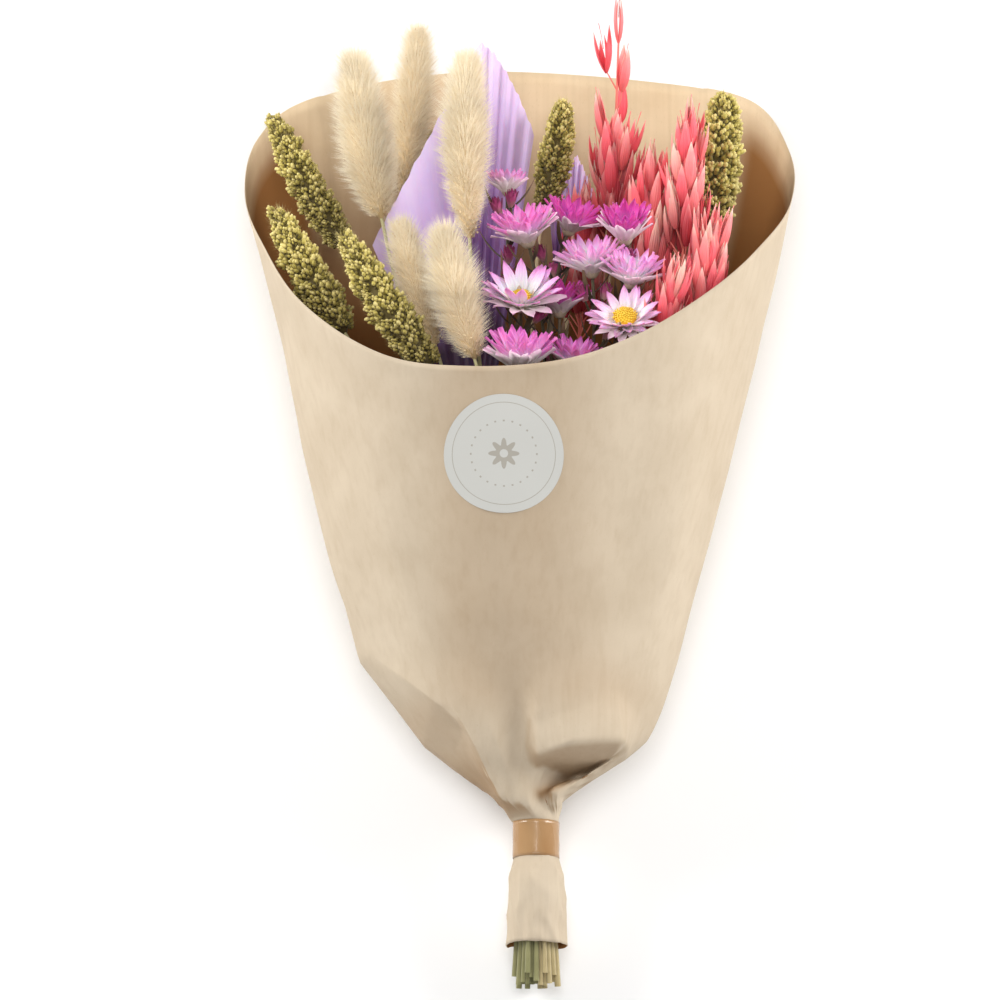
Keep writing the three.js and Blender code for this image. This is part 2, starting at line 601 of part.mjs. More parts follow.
addPiece("kraft_wrap", kraftWrap(), FINISHES.kraft);
addPiece("round_label", roundLabel(), FINISHES.label);
addPiece("neck_tape", band(TAPE.fromY, TAPE.toY, TAPE.radius, TAPE.thick, 20), FINISHES.tape);
const tieRadius = TIE.radiusInSeats * SEAT_PITCH + STEM_RADIUS + FIT;
addPiece(
  "stem_tie",
  band(TIE_AT.y - TIE.width / 2, TIE_AT.y + TIE.width / 2, tieRadius, TIE.thick, 12),
  FINISHES.elastic,
);
FOXTAILS.forEach((plant, i) => {
  const head = foxtailHead(plant, orderOf(plant));
  addPiece(`foxtail_${i + 1}`, onItsStem(head, plant, orderOf(plant)), FINISHES.millet);
});
BUNNY_TAILS.forEach((plant, i) => {
  const head = bunnyTailHead(plant, orderOf(plant));
  addPiece(`bunny_tail_${i + 1}`, onItsStem(head, plant, orderOf(plant)), FINISHES.haresTail);
});
OAT_SPRIGS.forEach((plant, i) => {
  addPiece(`oat_sprig_${i + 1}`, oatSprig(plant, orderOf(plant)), FINISHES.coralOat);
});
PALM_SPEARS.forEach((plant, i) => {
  addPiece(`palm_spear_${i + 1}`, palmSpear(plant, orderOf(plant)), FINISHES.lilacPalm);
});
EVERLASTINGS.forEach((plant, i) => {
  const order = orderOf(plant);
  addPiece(`everlasting_${i + 1}_bracts`, everlastingBracts(plant, order), FINISHES.pinkBract);
  addPiece(`everlasting_${i + 1}_disc`, everlastingDisc(plant), FINISHES.yellowDisc);
  addPiece(`everlasting_${i + 1}_stem`, everlastingStem(plant, order), FINISHES.strawStem);
});

export default bouquet;
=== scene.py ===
"""A hand-tied bouquet of dried flowers in kraft paper, lying on its back.

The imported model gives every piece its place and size. This script gives each one its fine mesh and
its finish. Lengths are in millimetres until a mesh is finished, and in metres from then on. A plant's
head is modelled with y along it, and a share runs from 0 to 1.
"""

import logging
import math
from dataclasses import KW_ONLY, dataclass, field
from enum import Enum
from functools import lru_cache, partial
from typing import Callable, Sequence

import bmesh
import bpy
from mathutils import Matrix, Vector, noise
from mathutils.bvhtree import BVHTree


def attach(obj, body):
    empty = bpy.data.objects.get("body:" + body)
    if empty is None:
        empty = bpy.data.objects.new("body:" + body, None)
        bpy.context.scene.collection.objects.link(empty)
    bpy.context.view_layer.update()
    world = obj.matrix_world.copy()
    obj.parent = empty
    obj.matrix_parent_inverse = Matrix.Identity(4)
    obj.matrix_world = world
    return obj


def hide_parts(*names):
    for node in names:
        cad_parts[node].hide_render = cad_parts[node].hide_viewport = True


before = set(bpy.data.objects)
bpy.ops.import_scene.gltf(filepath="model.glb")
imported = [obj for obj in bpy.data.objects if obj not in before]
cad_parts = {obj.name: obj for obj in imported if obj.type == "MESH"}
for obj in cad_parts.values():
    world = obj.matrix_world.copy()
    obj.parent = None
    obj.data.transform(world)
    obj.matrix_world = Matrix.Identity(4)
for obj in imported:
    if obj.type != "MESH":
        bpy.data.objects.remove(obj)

LOG = logging.getLogger("bouquet")
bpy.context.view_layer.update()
MM = 0.001
FULL_TURN = 2 * math.pi
GOLDEN_ANGLE = math.pi * (3 - math.sqrt(5))
SHARP_EDGE = math.radians(60)
TOUCHING = 1e-5
UP = Vector((0, 0, 1))
ALONG = Vector((0, 1, 0))
Z_TO_Y = Matrix.Rotation(-math.pi / 2, 3, "X")
Shape = bmesh.types.BMesh
Socket = bpy.types.NodeSocket
Material = bpy.types.Material
Template = bpy.types.Mesh
Piece = bpy.types.Object
Place = Callable[[float, float], Vector]
Colour = tuple[float, float, float]
Stops = tuple[tuple[float, Colour], ...]
Folds = tuple[tuple[float, float, float], ...]


def lerp(low: float, high: float, share: float) -> float:
    """Goes from low to high as share goes from 0 to 1."""
    return low + (high - low) * share


def smooth_step(low: float, high: float, value: float) -> float:
    """Rises smoothly from 0 at low to 1 at high."""
    share = min(max((value - low) / (high - low), 0.0), 1.0)
    return share * share * (3 - 2 * share)


def round_y(angle: float, radius: float = 1.0) -> Vector:
    """Gives the point at an angle and a distance round the y axis."""
    return Vector((radius * math.cos(angle), 0, radius * math.sin(angle)))


class Draws:
    """A repeatable source of numbers from 0 to 1, the same one that the solids use."""

    def __init__(self, seed: int) -> None:
        """Starts the source that a number names."""
        self.state = seed * 7919 + 17

    def next(self) -> float:
        """Draws the next number."""
        self.state = (self.state * 48271) % 2147483647
        return self.state / 2147483647

    def between(self, low: float, high: float) -> float:
        """Draws a number between low and high."""
        return lerp(low, high, self.next())


class Slot(Enum):
    """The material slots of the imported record."""

    KRAFT = "kraft_paper"
    LABEL = "white_label"
    TAPE = "tan_tape"
    ELASTIC = "elastic"
    MILLET = "millet"
    HARES_TAIL = "hares_tail"
    OAT = "coral_oat"
    PALM = "lilac_palm"
    BRACT = "pink_bracts"
    FLORET = "yellow_florets"
    STEM = "straw_stem"


def srgb(red: int, green: int, blue: int) -> Colour:
    """Turns a colour into linear light.

    Args:
        red: from 0 to 255, as are the other two.
        green: the second channel.
        blue: the third channel.

    Returns:
        The three channels, from 0 to 1.
    """

    def linear(channel: int) -> float:
        """Turns one channel into linear light."""
        value = channel / 255
        return value / 12.92 if value <= 0.04045 else ((value + 0.055) / 1.055) ** 2.4

    return (linear(red), linear(green), linear(blue))


def shades(*pairs: tuple[float, tuple[int, int, int]]) -> Stops:
    """Turns places and their colours of 0 to 255 per channel into the stops of a ramp."""
    return tuple((place, srgb(*colour)) for place, colour in pairs)


class Shader:
    """A node tree under construction, with short methods for the nodes that the finishes share."""

    def __init__(self, name: str) -> None:
        """Starts an empty material.

        Args:
            name: the material's name.
        """
        self.material = bpy.data.materials.new(name)
        self.material.use_nodes = True
        self.tree = self.material.node_tree
        self.tree.nodes.clear()
        self.surface = self.tree.nodes.new("ShaderNodeBsdfPrincipled")
        self.output = self.tree.nodes.new("ShaderNodeOutputMaterial")
        self.join(self.surface.outputs["BSDF"], self.output.inputs["Surface"])
        self.coordinates = self.tree.nodes.new("ShaderNodeTexCoord")

    def join(self, source: Socket, target: Socket) -> None:
        """Links one socket to another."""
        self.tree.links.new(source, target)

    def place(self, space: str = "Object", stretch: Sequence[float] = (1, 1, 1)) -> Socket:
        """Gives coordinates, stretched along the axes.

        Args:
            space: Object or UV.
            stretch: the factor along each axis.

        Returns:
            The socket of the stretched coordinates.
        """
        mapping = self.tree.nodes.new("ShaderNodeMapping")
        mapping.inputs["Scale"].default_value = stretch
        self.join(self.coordinates.outputs[space], mapping.inputs["Vector"])
        return mapping.outputs["Vector"]

    def mark(self, name: str) -> Socket:
        """Gives the number that the mesh holds at each vertex.

        Args:
            name: the name that it is held under.

        Returns:
            The socket of the number.
        """
        node = self.tree.nodes.new("ShaderNodeAttribute")
        node.attribute_name = name
        return node.outputs["Fac"]

    def noise(self, where: Socket, scale: float, detail: float = 3, rough: float = 0.55) -> Socket:
        """Gives a cloudy pattern.

        Args:
            where: the socket of the coordinates.
            scale: how many clouds lie in a metre.
            detail: how many finer layers it has.
            rough: how strong the finer layers are.

        Returns:
            The socket of a value from 0 to 1.
        """
        node = self.tree.nodes.new("ShaderNodeTexNoise")
        node.inputs["Scale"].default_value = scale
        node.inputs["Detail"].default_value = detail
        node.inputs["Roughness"].default_value = rough
        self.join(where, node.inputs["Vector"])
        return node.outputs["Fac"]

    def axis(self, where: Socket, letter: str) -> Socket:
        """Takes one coordinate out of a vector.

        Args:
            where: the socket of the vector.
            letter: X, Y or Z.

        Returns:
            The socket of the coordinate.
        """
        node = self.tree.nodes.new("ShaderNodeSeparateXYZ")
        self.join(where, node.inputs["Vector"])
        return node.outputs[letter]

    def math(self, kind: str, first: Socket, second: Socket | float = 0.0) -> Socket:
        """Works out a sum, product or other function.

        Args:
            kind: the function, by its name in Blender.
            first: the socket of its first value.
            second: its second value, or the socket of it.

        Returns:
            The socket of the result.
        """
        node = self.tree.nodes.new("ShaderNodeMath")
        node.operation = kind
        self.join(first, node.inputs[0])
        if isinstance(second, float):
            node.inputs[1].default_value = second
        else:
            self.join(second, node.inputs[1])
        return node.outputs["Value"]

    def times(self, value: Socket, factor: float) -> Socket:
        """Multiplies a value by a number."""
        return self.math("MULTIPLY", value, factor)

    def ramp(self, value: Socket, stops: Stops) -> Socket:
        """Turns a value into a colour.

        Args:
            value: the socket of the value, from 0 to 1.
            stops: places and their colours, in order.

        Returns:
            The socket of the colour.
        """
        node = self.tree.nodes.new("ShaderNodeValToRGB")
        stack = node.color_ramp.elements
        stack[0].position, stack[0].color = stops[0][0], (*stops[0][1], 1)
        stack[1].position, stack[1].color = stops[-1][0], (*stops[-1][1], 1)
        for position, colour in stops[1:-1]:
            stack.new(position).color = (*colour, 1)
        self.join(value, node.inputs["Fac"])
        return node.outputs["Color"]

    def blend(
        self, share: Socket | float, low: Socket | Colour, high: Socket | Colour, kind: str = "MIX"
    ) -> Socket:
        """Mixes two colours.

        Args:
            share: how much of the second one shows, or the socket of it.
            low: the first colour, or the socket of it.
            high: the second colour, or the socket of it.
            kind: the way of mixing, by its name in Blender.

        Returns:
            The socket of the mixed colour.
        """
        node = self.tree.nodes.new("ShaderNodeMix")
        node.data_type = "RGBA"
        node.blend_type = kind
        if isinstance(share, float):
            node.inputs["Factor"].default_value = share
        else:
            self.join(share, node.inputs["Factor"])
        for name, colour in (("A", low), ("B", high)):
            socket = next(s for s in node.inputs if s.name == name and s.type == "RGBA")
            if isinstance(colour, tuple):
                socket.default_value = (*colour, 1)
            else:
                self.join(colour, socket)
        return next(s for s in node.outputs if s.type == "RGBA")

    def relief(self, height: Socket, strength: float, depth: float) -> None:
        """Adds a relief to the surface.

        Args:
            height: the socket of the height, from 0 to 1.
            strength: how much of the relief shows.
            depth: the relief's depth in metres.
        """
        node = self.tree.nodes.new("ShaderNodeBump")
        node.inputs["Strength"].default_value = strength
        node.inputs["Distance"].default_value = depth
        self.join(height, node.inputs["Height"])
        before = self.surface.inputs["Normal"]
        if before.is_linked:
            self.join(before.links[0].from_socket, node.inputs["Normal"])
        self.join(node.outputs["Normal"], before)

    def colour(self, socket: Socket) -> None:
        """Joins a colour to the surface."""
        self.join(socket, self.surface.inputs["Base Color"])

    def roughness(self, value: Socket, low: float, high: float) -> None:
        """Joins a roughness to the surface.

        Args:
            value: the socket of a value from 0 to 1 that it follows.
            low: the roughness at 0.
            high: the roughness at 1.
        """
        node = self.tree.nodes.new("ShaderNodeMapRange")
        node.inputs["To Min"].default_value = low
        node.inputs["To Max"].default_value = high
        self.join(value, node.inputs["Value"])
        self.join(node.outputs["Result"], self.surface.inputs["Roughness"])

    def steady(self, **values: float) -> None:
        """Sets sockets of the surface that are the same all over it.

        Args:
            values: socket names with _ for each space, and their numbers.
        """
        sockets = {socket.name.lower().replace(" ", "_"): socket for socket in self.surface.inputs}
        for name, value in values.items():
            sockets[name].default_value = value


@dataclass(frozen=True)
class KraftFinish:
    """Uncoated kraft paper: beige, with short fibres, faint ribs along the sheet and a cloudy tone.

    The clouds go from mid to pale, the flecks and ribs are fibre, and painted shade darkens the sheet
    where it carries the mark. Each scale says how many parts of the pattern lie in a metre.
    """

    name: str = "kraft_outside"
    pale: Colour = srgb(200, 185, 163)
    mid: Colour = srgb(188, 172, 149)
    fibre: Colour = srgb(158, 136, 108)
    # The mark and its colour paint shade onto the sheet: shaded fold sides outside, shaded depths inside.
    mark: str = "painted_fold_shade"
    painted_shade: Colour = srgb(150, 118, 82)
    painted_shade_by: float = 0.7
    cloud_scale: float = 26
    fleck_scale: float = 1900
    fleck_stretch: float = 0.35
    fleck_above: float = 0.67
    fleck_tone: float = 0.12
    rib_scale: float = 260
    rib_stretch: float = 0.02
    rib_above: float = 0.45
    rib_tone: float = 0.55
    pulp_scale: float = 900
    dent_scale: float = 70

    def build(self) -> Material:
        """Makes the finish.

        Returns:
            The material.
        """
        shader = Shader(self.name)
        where = shader.place()
        cloud = shader.noise(where, self.cloud_scale, 4, 0.6)
        tone = shader.ramp(cloud, ((0.3, self.mid), (0.7, self.pale)))
        flecks = shader.noise(shader.place(stretch=(1, self.fleck_stretch, 1)), self.fleck_scale, 2, 0.5)
        fleck_share = shader.times(shader.math("GREATER_THAN", flecks, self.fleck_above), self.fleck_tone)
        flecked = shader.blend(fleck_share, tone, self.fibre)
        ribs = shader.noise(shader.place(stretch=(1, self.rib_stretch, 1)), self.rib_scale, 2, 0.6)
        rib_share = shader.times(shader.math("SUBTRACT", ribs, self.rib_above), self.rib_tone)
        ribbed = shader.blend(rib_share, flecked, self.fibre)
        # painted shade: the mark blends the sheet towards the shade colour
        painted_shade_share = shader.times(shader.mark(self.mark), self.painted_shade_by)
        shader.colour(shader.blend(painted_shade_share, ribbed, self.painted_shade))
        shader.relief(ribs, 0.2, 0.0003)
        shader.relief(shader.noise(where, self.pulp_scale, 3, 0.6), 0.25, 0.00006)
        shader.relief(shader.noise(where, self.dent_scale, 3, 0.5), 0.2, 0.0006)
        shader.roughness(cloud, 0.72, 0.86)
        shader.steady(specular_ior_level=0.3)
        return shader.material


@dataclass(frozen=True)
class LabelFinish:
    """Matt white label paper with a thin printed ring, a ring of dots and a small rosette.

    Places and widths are shares of the label's radius.
    """

    name: str = "label_paper"
    paper: Colour = srgb(192, 192, 187)
    ink: Colour = srgb(150, 143, 130)
    ink_cover: float = 0.75
    ring_at: float = 0.86
    ring_half: float = 0.006
    dots: int = 24
    dots_at: float = 0.55
    dots_half: float = 0.014
    dots_above: float = 0.75
    petals: int = 8
    petals_to: float = 0.2
    petals_wave: float = 0.06
    eye: float = 0.07

    @staticmethod
    def ring(shader: Shader, out: Socket, at: float, half: float) -> Socket:
        """Gives a value that is 1 on a ring round the label's middle and 0 elsewhere."""
        return shader.math("LESS_THAN", shader.math("ABSOLUTE", shader.math("SUBTRACT", out, at)), half)

    def build(self) -> Material:
        """Makes the finish from the label's own round coordinates.

        Returns:
            The material.
        """
        shader = Shader(self.name)
        where = shader.place("UV")
        turn = shader.axis(where, "X")
        out = shader.axis(where, "Y")
        wave = shader.math("COSINE", shader.times(turn, FULL_TURN * self.petals))
        edge = shader.math("ADD", shader.times(wave, self.petals_wave), self.petals_to)
        rosette = shader.math("LESS_THAN", out, edge)
        petals = shader.math("MULTIPLY", rosette, shader.math("GREATER_THAN", out, self.eye))
        beat = shader.math("COSINE", shader.times(turn, FULL_TURN * self.dots))
        pulses = shader.math("GREATER_THAN", beat, self.dots_above)
        dots = shader.math("MULTIPLY", pulses, self.ring(shader, out, self.dots_at, self.dots_half))
        print_line = self.ring(shader, out, self.ring_at, self.ring_half)
        ink = shader.math("MAXIMUM", print_line, shader.math("MAXIMUM", petals, dots))
        shader.colour(shader.blend(shader.times(ink, self.ink_cover), self.paper, self.ink))
        grain = shader.noise(shader.place(), 1500, 2)
        shader.relief(grain, 0.12, 0.00004)
        shader.roughness(grain, 0.45, 0.6)
        return shader.material


@dataclass(frozen=True)
class TapeFinish:
    """Glossy tan packing tape with the paper's folds showing through."""

    name: str = "packing_tape"
    film: Colour = srgb(172, 136, 94)
    dark: Colour = srgb(160, 119, 75)
    streak_scale: float = 110
    fold_scale: float = 260

    def build(self) -> Material:
        """Makes the finish.

        Returns:
            The material.
        """
        shader = Shader(self.name)
        streaks = shader.noise(shader.place(stretch=(1, 0.3, 1)), self.streak_scale, 2, 0.4)
        shader.colour(shader.ramp(streaks, ((0.25, self.dark), (0.75, self.film))))
        shader.relief(shader.noise(shader.place(stretch=(1, 0.2, 1)), self.fold_scale, 3), 0.3, 0.0003)
        shader.roughness(streaks, 0.2, 0.34)
        shader.steady(coat_weight=0.5, coat_roughness=0.12)
        return shader.material


@dataclass(frozen=True)
class PlantFinish:
    """Dry plant matter whose colour goes from one end of each small part to the other.

    spread is how far the colour shifts from place to place, in patches of cell_scale to a metre.
    veins is how many ridges run along a part, glow how much light shines through it, mottle how much
    the patches darken it. A vertex mark, named with its colour, brings painted shade in that colour.
    """

    name: str
    stops: Stops
    spread: float = 0.25
    cell_scale: float = 350
    rough: tuple[float, float] = (0.6, 0.8)
    veins: float = 0
    vein_strength: float = 0.35
    sheen: float = 0.15
    glow: float = 0.0
    mottle: float = 0.7
    # a vertex mark and the colour of the painted shade that it brings
    painted_shade: tuple[str, Colour] | None = None
    painted_shade_by: float = 0.45
    patches: Stops = ((0.3, (0.72, 0.7, 0.68)), (0.65, (1.0, 1.0, 1.0)))

    def build(self) -> Material:
        """Makes the finish: a ramp along the part, spread from part to part, with fine veins.

        Returns:
            The material.
        """
        shader = Shader(self.name)
        along = shader.axis(shader.place("UV"), "Y")
        body = shader.noise(shader.place(), self.cell_scale, 2, 0.6)
        shift = shader.times(shader.math("SUBTRACT", body, 0.5), 2 * self.spread)
        colour = shader.ramp(shader.math("ADD", along, shift), self.stops)
        shade = shader.ramp(shader.noise(shader.place(), self.cell_scale * 0.3, 3), self.patches)
        colour = shader.blend(self.mottle, colour, shade, "MULTIPLY")
        # painted shade where the mark lies
        if self.painted_shade:
            mark, dark = self.painted_shade
            colour = shader.blend(shader.times(shader.mark(mark), self.painted_shade_by), colour, dark)
        shader.colour(colour)
        if self.veins:
            across = shader.axis(shader.place("UV"), "X")
            wave = shader.math("SINE", shader.times(across, FULL_TURN * self.veins))
            shader.relief(wave, self.vein_strength, 0.0002)
        shader.relief(shader.noise(shader.place(), self.cell_scale * 3, 3), 0.3, 0.0001)
        shader.roughness(body, *self.rough)
        shader.steady(sheen_weight=self.sheen, specular_ior_level=0.35)
        if self.glow:
            shader.steady(subsurface_weight=self.glow, subsurface_scale=0.002)
        return shader.material


def new_shape() -> Shape:
    """Starts a bmesh.

    Returns:
        The bmesh, empty but for a UV map.
    """
    shape = bmesh.new()
    shape.loops.layers.uv.new("UVMap")
    return shape


def mapped_grid(columns: int, rows: int, place: Place, closed: bool = False) -> Shape:
    """Makes a grid and moves its points to where a formula says.

    Args:
        columns: faces across, where the formula's first number goes from 0 to 1.
        rows: faces along, where its second number goes from 0 to 1.
        place: the formula, in millimetres.
        closed: whether the two sides meet.

    Returns:
        The bmesh, with the two numbers as its UV map.
    """
    sheet = new_shape()
    bmesh.ops.create_grid(sheet, x_segments=columns, y_segments=rows, size=0.5, calc_uvs=True)
    for vert in sheet.verts:
        vert.co = place(vert.co.x + 0.5, vert.co.y + 0.5)
    if closed:
        bmesh.ops.remove_doubles(sheet, verts=sheet.verts, dist=TOUCHING)
    return sheet


def closed_tube(
    line: Sequence[Vector], radius: Callable[[float], float], sides: int = 8, rows: int | None = None
) -> Shape:
    """Makes a tube along a line of points, closed at both ends.

    Args:
        line: the points, in millimetres.
        radius: the tube's radius at a share of its length.
        sides: corners round it.
        rows: rings along it, one per point if left out.

    Returns:
        The bmesh.
    """
    path = Path(line)
    rows = rows or len(line) - 1
    cap = 1 / (rows + 2)

    def place(turn: float, along: float) -> Vector:
        """Gives a point of the tube, or the middle of an end cap.

        Args:
            turn: the share of the way round.
            along: the share of the way along, with the caps.

        Returns:
            The point.
        """
        share = min(max((along - cap) / (1 - 2 * cap), 0.0), 1.0)
        reach = radius(share) if cap * 0.5 < along < 1 - cap * 0.5 else 0.0
        return path.frame(share) @ round_y(-turn * FULL_TURN, reach)

    return mapped_grid(sides, rows + 2, place, closed=True)


class Path:
    """A line through points, measured along its length."""

    def __init__(self, points: Sequence[Vector]) -> None:
        """Measures the line.

        Args:
            points: the points that it passes through.
        """
        self.points = list(points)
        self.reached = [0.0]
        for before, after in zip(self.points, self.points[1:]):
            self.reached.append(self.reached[-1] + (after - before).length)

    @property
    def length(self) -> float:
        """The line's whole length."""
        return self.reached[-1]

    def frame(self, share: float, up: Vector = UP) -> Matrix:
        """Gives the place and turn at a share of the length.

        Args:
            share: from 0 at the start to 1 at the end.
            up: the way that the front faces as nearly as it can.

        Returns:
            A matrix with x to the side, y along and z to the front.
        """
        goal = share * self.length
        i = 0
        while i < len(self.points) - 2 and self.reached[i + 1] < goal:
            i += 1
        span = self.reached[i + 1] - self.reached[i]
        part = (goal - self.reached[i]) / span if span else 0.0
        at = self.points[i].lerp(self.points[i + 1], part)
        here = (self.points[i + 1] - self.points[i]).normalized()
        before = (self.points[i] - self.points[i - 1]).normalized() if i else here
        after = (self.points[i + 2] - self.points[i + 1]).normalized() if i + 2 < len(self.points) else here
        along = (before + here).lerp(here + after, part).normalized()
        return facing(at, along, up)


def facing(at: Vector, along: Vector, up: Vector = UP) -> Matrix:
    """Gives a frame at a point.

    Args:
        at: the point.
        along: the way that y goes.
        up: the way that z goes as nearly as it can.

    Returns:
        The matrix of the frame.
    """
    side = along.cross(up)
    if side.length < 1e-6:
        side = along.cross(Vector((1, 0, 0)))
    side.normalize()
    front = side.cross(along).normalized()
    turned = Matrix((side, along.normalized(), front)).transposed().to_4x4()
    return Matrix.Translation(at) @ turned


def curve_through(points: Sequence[Vector], steps: int) -> list[Vector]:
    """Gives a smooth curve through three points.

    Args:
        points: the three points.
        steps: how many steps the curve has.

    Returns:
        The points of the curve.
    """
    first, passed, last = points
    pull = passed * 2 - (first + last) * 0.5
    shares = [k / steps for k in range(steps + 1)]
    return [first * (1 - t) ** 2 + pull * (2 * t * (1 - t)) + last * t * t for t in shares]


def turn_shape(shape: Shape, turn: Matrix) -> None:
    """Turns a shape about the origin."""
    bmesh.ops.rotate(shape, cent=(0, 0, 0), matrix=turn, verts=shape.verts)


def set_along(shape: Shape, share: Callable[[Vector], float]) -> None:
    """Writes into the UV map how far along its part each corner lies.

    Args:
        shape: the part.
        share: gives the share of the way along at a point.
    """
    layer = shape.loops.layers.uv.active
    for face in shape.faces:
        for loop in face.loops:
            loop[layer].uv = (0.5, share(loop.vert.co))


def as_template(shape: Shape) -> Template:
    """Makes a mesh that can be stamped many times.

    Args:
        shape: its bmesh, which is freed.

    Returns:
        The mesh.
    """
    mesh = bpy.data.meshes.new("template")
    shape.to_mesh(mesh)
    shape.free()
    return mesh


def stamp(target: Shape, template: Template, place: Matrix, slot: int = 0) -> None:
    """Adds a copy of a template to a bmesh.

    Args:
        target: the bmesh that grows.
        template: the mesh that is copied.
        place: where the copy goes.
        slot: the copy's material slot.
    """
    copy = template.copy()
    copy.transform(place)
    if slot:
        copy.polygons.foreach_set("material_index", [slot] * len(copy.polygons))
    target.from_mesh(copy)
    bpy.data.meshes.remove(copy)


def discard(*templates: Template) -> None:
    """Removes templates that have been stamped for the last time."""
    for template in templates:
        bpy.data.meshes.remove(template)


def add_shape(target: Shape, shape: Shape, slot: int = 0) -> None:
    """Adds a shape where it stands to a bmesh.

    Args:
        target: the bmesh that grows.
        shape: the shape, which is freed.
        slot: the shape's material slot.
    """
    template = as_template(shape)
    stamp(target, template, Matrix.Identity(4), slot)
    discard(template)


def finish_piece(name: str, shape: Shape, finishes: Sequence[Material], slot: Slot, *nodes: str) -> Piece:
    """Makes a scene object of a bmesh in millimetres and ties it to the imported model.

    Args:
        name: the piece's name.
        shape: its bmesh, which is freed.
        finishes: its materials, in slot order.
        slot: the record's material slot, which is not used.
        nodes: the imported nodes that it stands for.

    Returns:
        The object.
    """
    bmesh.ops.scale(shape, vec=(MM, MM, MM), verts=shape.verts)
    mesh = bpy.data.meshes.new(name)
    shape.to_mesh(mesh)
    shape.free()
    mesh.polygons.foreach_set("use_smooth", [True] * len(mesh.polygons))
    mesh.set_sharp_from_angle(angle=SHARP_EDGE)
    for finish in finishes:
        mesh.materials.append(finish)
    piece = bpy.data.objects.new(name, mesh)
    bpy.context.scene.collection.objects.link(piece)
    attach(piece, "root")
    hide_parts(*nodes)
    LOG.info("%s: %d faces", name, len(mesh.polygons))
    return piece


def thicken(piece: Piece, thickness: float, inner_slot: int = 0) -> None:
    """Gives a sheet its thickness, inwards from its outer face.

    Args:
        piece: the sheet.
        thickness: in millimetres.
        inner_slot: the material slot of its inner face.
    """
    solidify = piece.modifiers.new("thickness", "SOLIDIFY")
    solidify.thickness = thickness * MM
    solidify.offset = -1
    solidify.use_even_offset = False
    solidify.material_offset = inner_slot


@dataclass
class Bunch:
    """The tied stems: their seats in the tie, and the line of each one from cut end to head.

    The seats lie pitch apart in rows from the bottom up. fan_from is the y where the stems begin to
    fan out, tape_from and tape_to are the y of the tape's edges, and cut_at that of the cut ends.
    """

    tie_at: Vector = field(default_factory=lambda: Vector((6.8, -122, 31.7)))
    slope: float = 0.2
    stem_radius: float = 0.95
    pitch: float = 2.45
    rows: tuple[int, ...] = (3, 4, 5, 6, 5, 4, 3)
    fan_from: float = -117
    tape_from: float = -164
    tape_to: float = -149
    cut_at: float = -215
    cut_uneven: float = 2.4
    cut_splay: float = 1.5
    steps_low: int = 4
    steps_fan: int = 22
    seats: dict[int, tuple[float, float]] = field(default_factory=dict)
    plants: Sequence["Plant | Everlasting"] = ()

    def middle(self, y: float) -> Vector:
        """Gives the middle of the tied bunch at a place along it."""
        return Vector((self.tie_at.x, y, self.tie_at.z + (y - self.tie_at.y) * self.slope))

    def lean(self, i: int, axis: int) -> float:
        """Gives how far a stem leans to one side on its way from the tie to its head."""
        base = self.plants[i].base
        return (base[axis] - self.tie_at[axis]) / (base.y - self.fan_from)

    def seat_stems(self, plants: Sequence["Plant | Everlasting"]) -> None:
        """Seats plants with lower heads in lower layers, and those on the left on the left.

        Args:
            plants: all plants, in the order of the solids.
        """
        self.plants = plants
        upwards = sorted(range(len(plants)), key=lambda i: self.lean(i, 2))
        for layer, count in enumerate(self.rows):
            row = sorted(upwards[:count], key=lambda i: self.lean(i, 0))
            upwards = upwards[count:]
            for k, i in enumerate(row):
                across = (k - (count - 1) / 2) * self.pitch
                height = (layer - (len(self.rows) - 1) / 2) * self.pitch * math.sqrt(0.75)
                self.seats[i] = (across, height)

    def seated(self, i: int, y: float, splay: float = 1) -> Vector:
        """Gives the middle of a stem where the bunch is tied."""
        across, height = self.seats[i]
        return self.middle(y) + Vector((across * splay, 0, height * splay))

    def cut_end(self, i: int) -> float:
        """Gives the y at which a stem was cut."""
        return self.cut_at - self.cut_uneven * math.sin(i * 2.4)

    def line(self, i: int) -> list[Vector]:
        """Gives the points of a stem, from its cut end to the base of its head.

        Args:
            i: the stem's number.

        Returns:
            The points.
        """
        start = self.seated(i, self.fan_from)
        end = self.plants[i].base
        reach = (end - start).length
        first = start + Vector((0, 1, self.slope)).normalized() * (reach * 0.25)
        last = end - self.plants[i].direction * (reach * 0.3)
        fan = [
            start * (1 - t) ** 3 + first * (3 * t * (1 - t) ** 2) + last * (3 * t * t * (1 - t)) + end * t**3
            for t in (k / self.steps_fan for k in range(self.steps_fan + 1))
        ]
        cut = self.seated(i, self.cut_end(i), self.cut_splay)
        taped = self.seated(i, self.tape_from)
        low = [cut.lerp(taped, k / self.steps_low) for k in range(self.steps_low)]
        return [*low, taped, self.seated(i, self.tape_to), *fan]

    def stem(
        self, i: int, end: Vector | None = None, radius: float | None = None, taper: float = 0.85
    ) -> Shape:
        """Makes a stem with a slight swelling here and there, thicker at its butt.

        Args:
            i: the stem's number.
            end: a last point inside the head, if the stem runs on into it.
            radius: the stem's radius, if it isn't the usual one.
            taper: how thick the stem is at its head, as a share.

        Returns:
            The bmesh.
        """
        points = self.line(i) + ([end] if end else [])
        thick = radius or self.stem_radius

        def girth(share: float) -> float:
            """Gives the stem's radius.

            Args:
                share: the share of its length.

            Returns:
                The radius.
            """
            swelling = 0.05 * math.sin(share * 40 + i) + 0.03 * math.sin(share * 97 + 2 * i)
            butt = 1 + 0.4 * (1 - smooth_step(0.02, 0.14, share))
            return thick * lerp(1.0, taper, share) * (0.95 + swelling) * butt

        return closed_tube(points, girth)


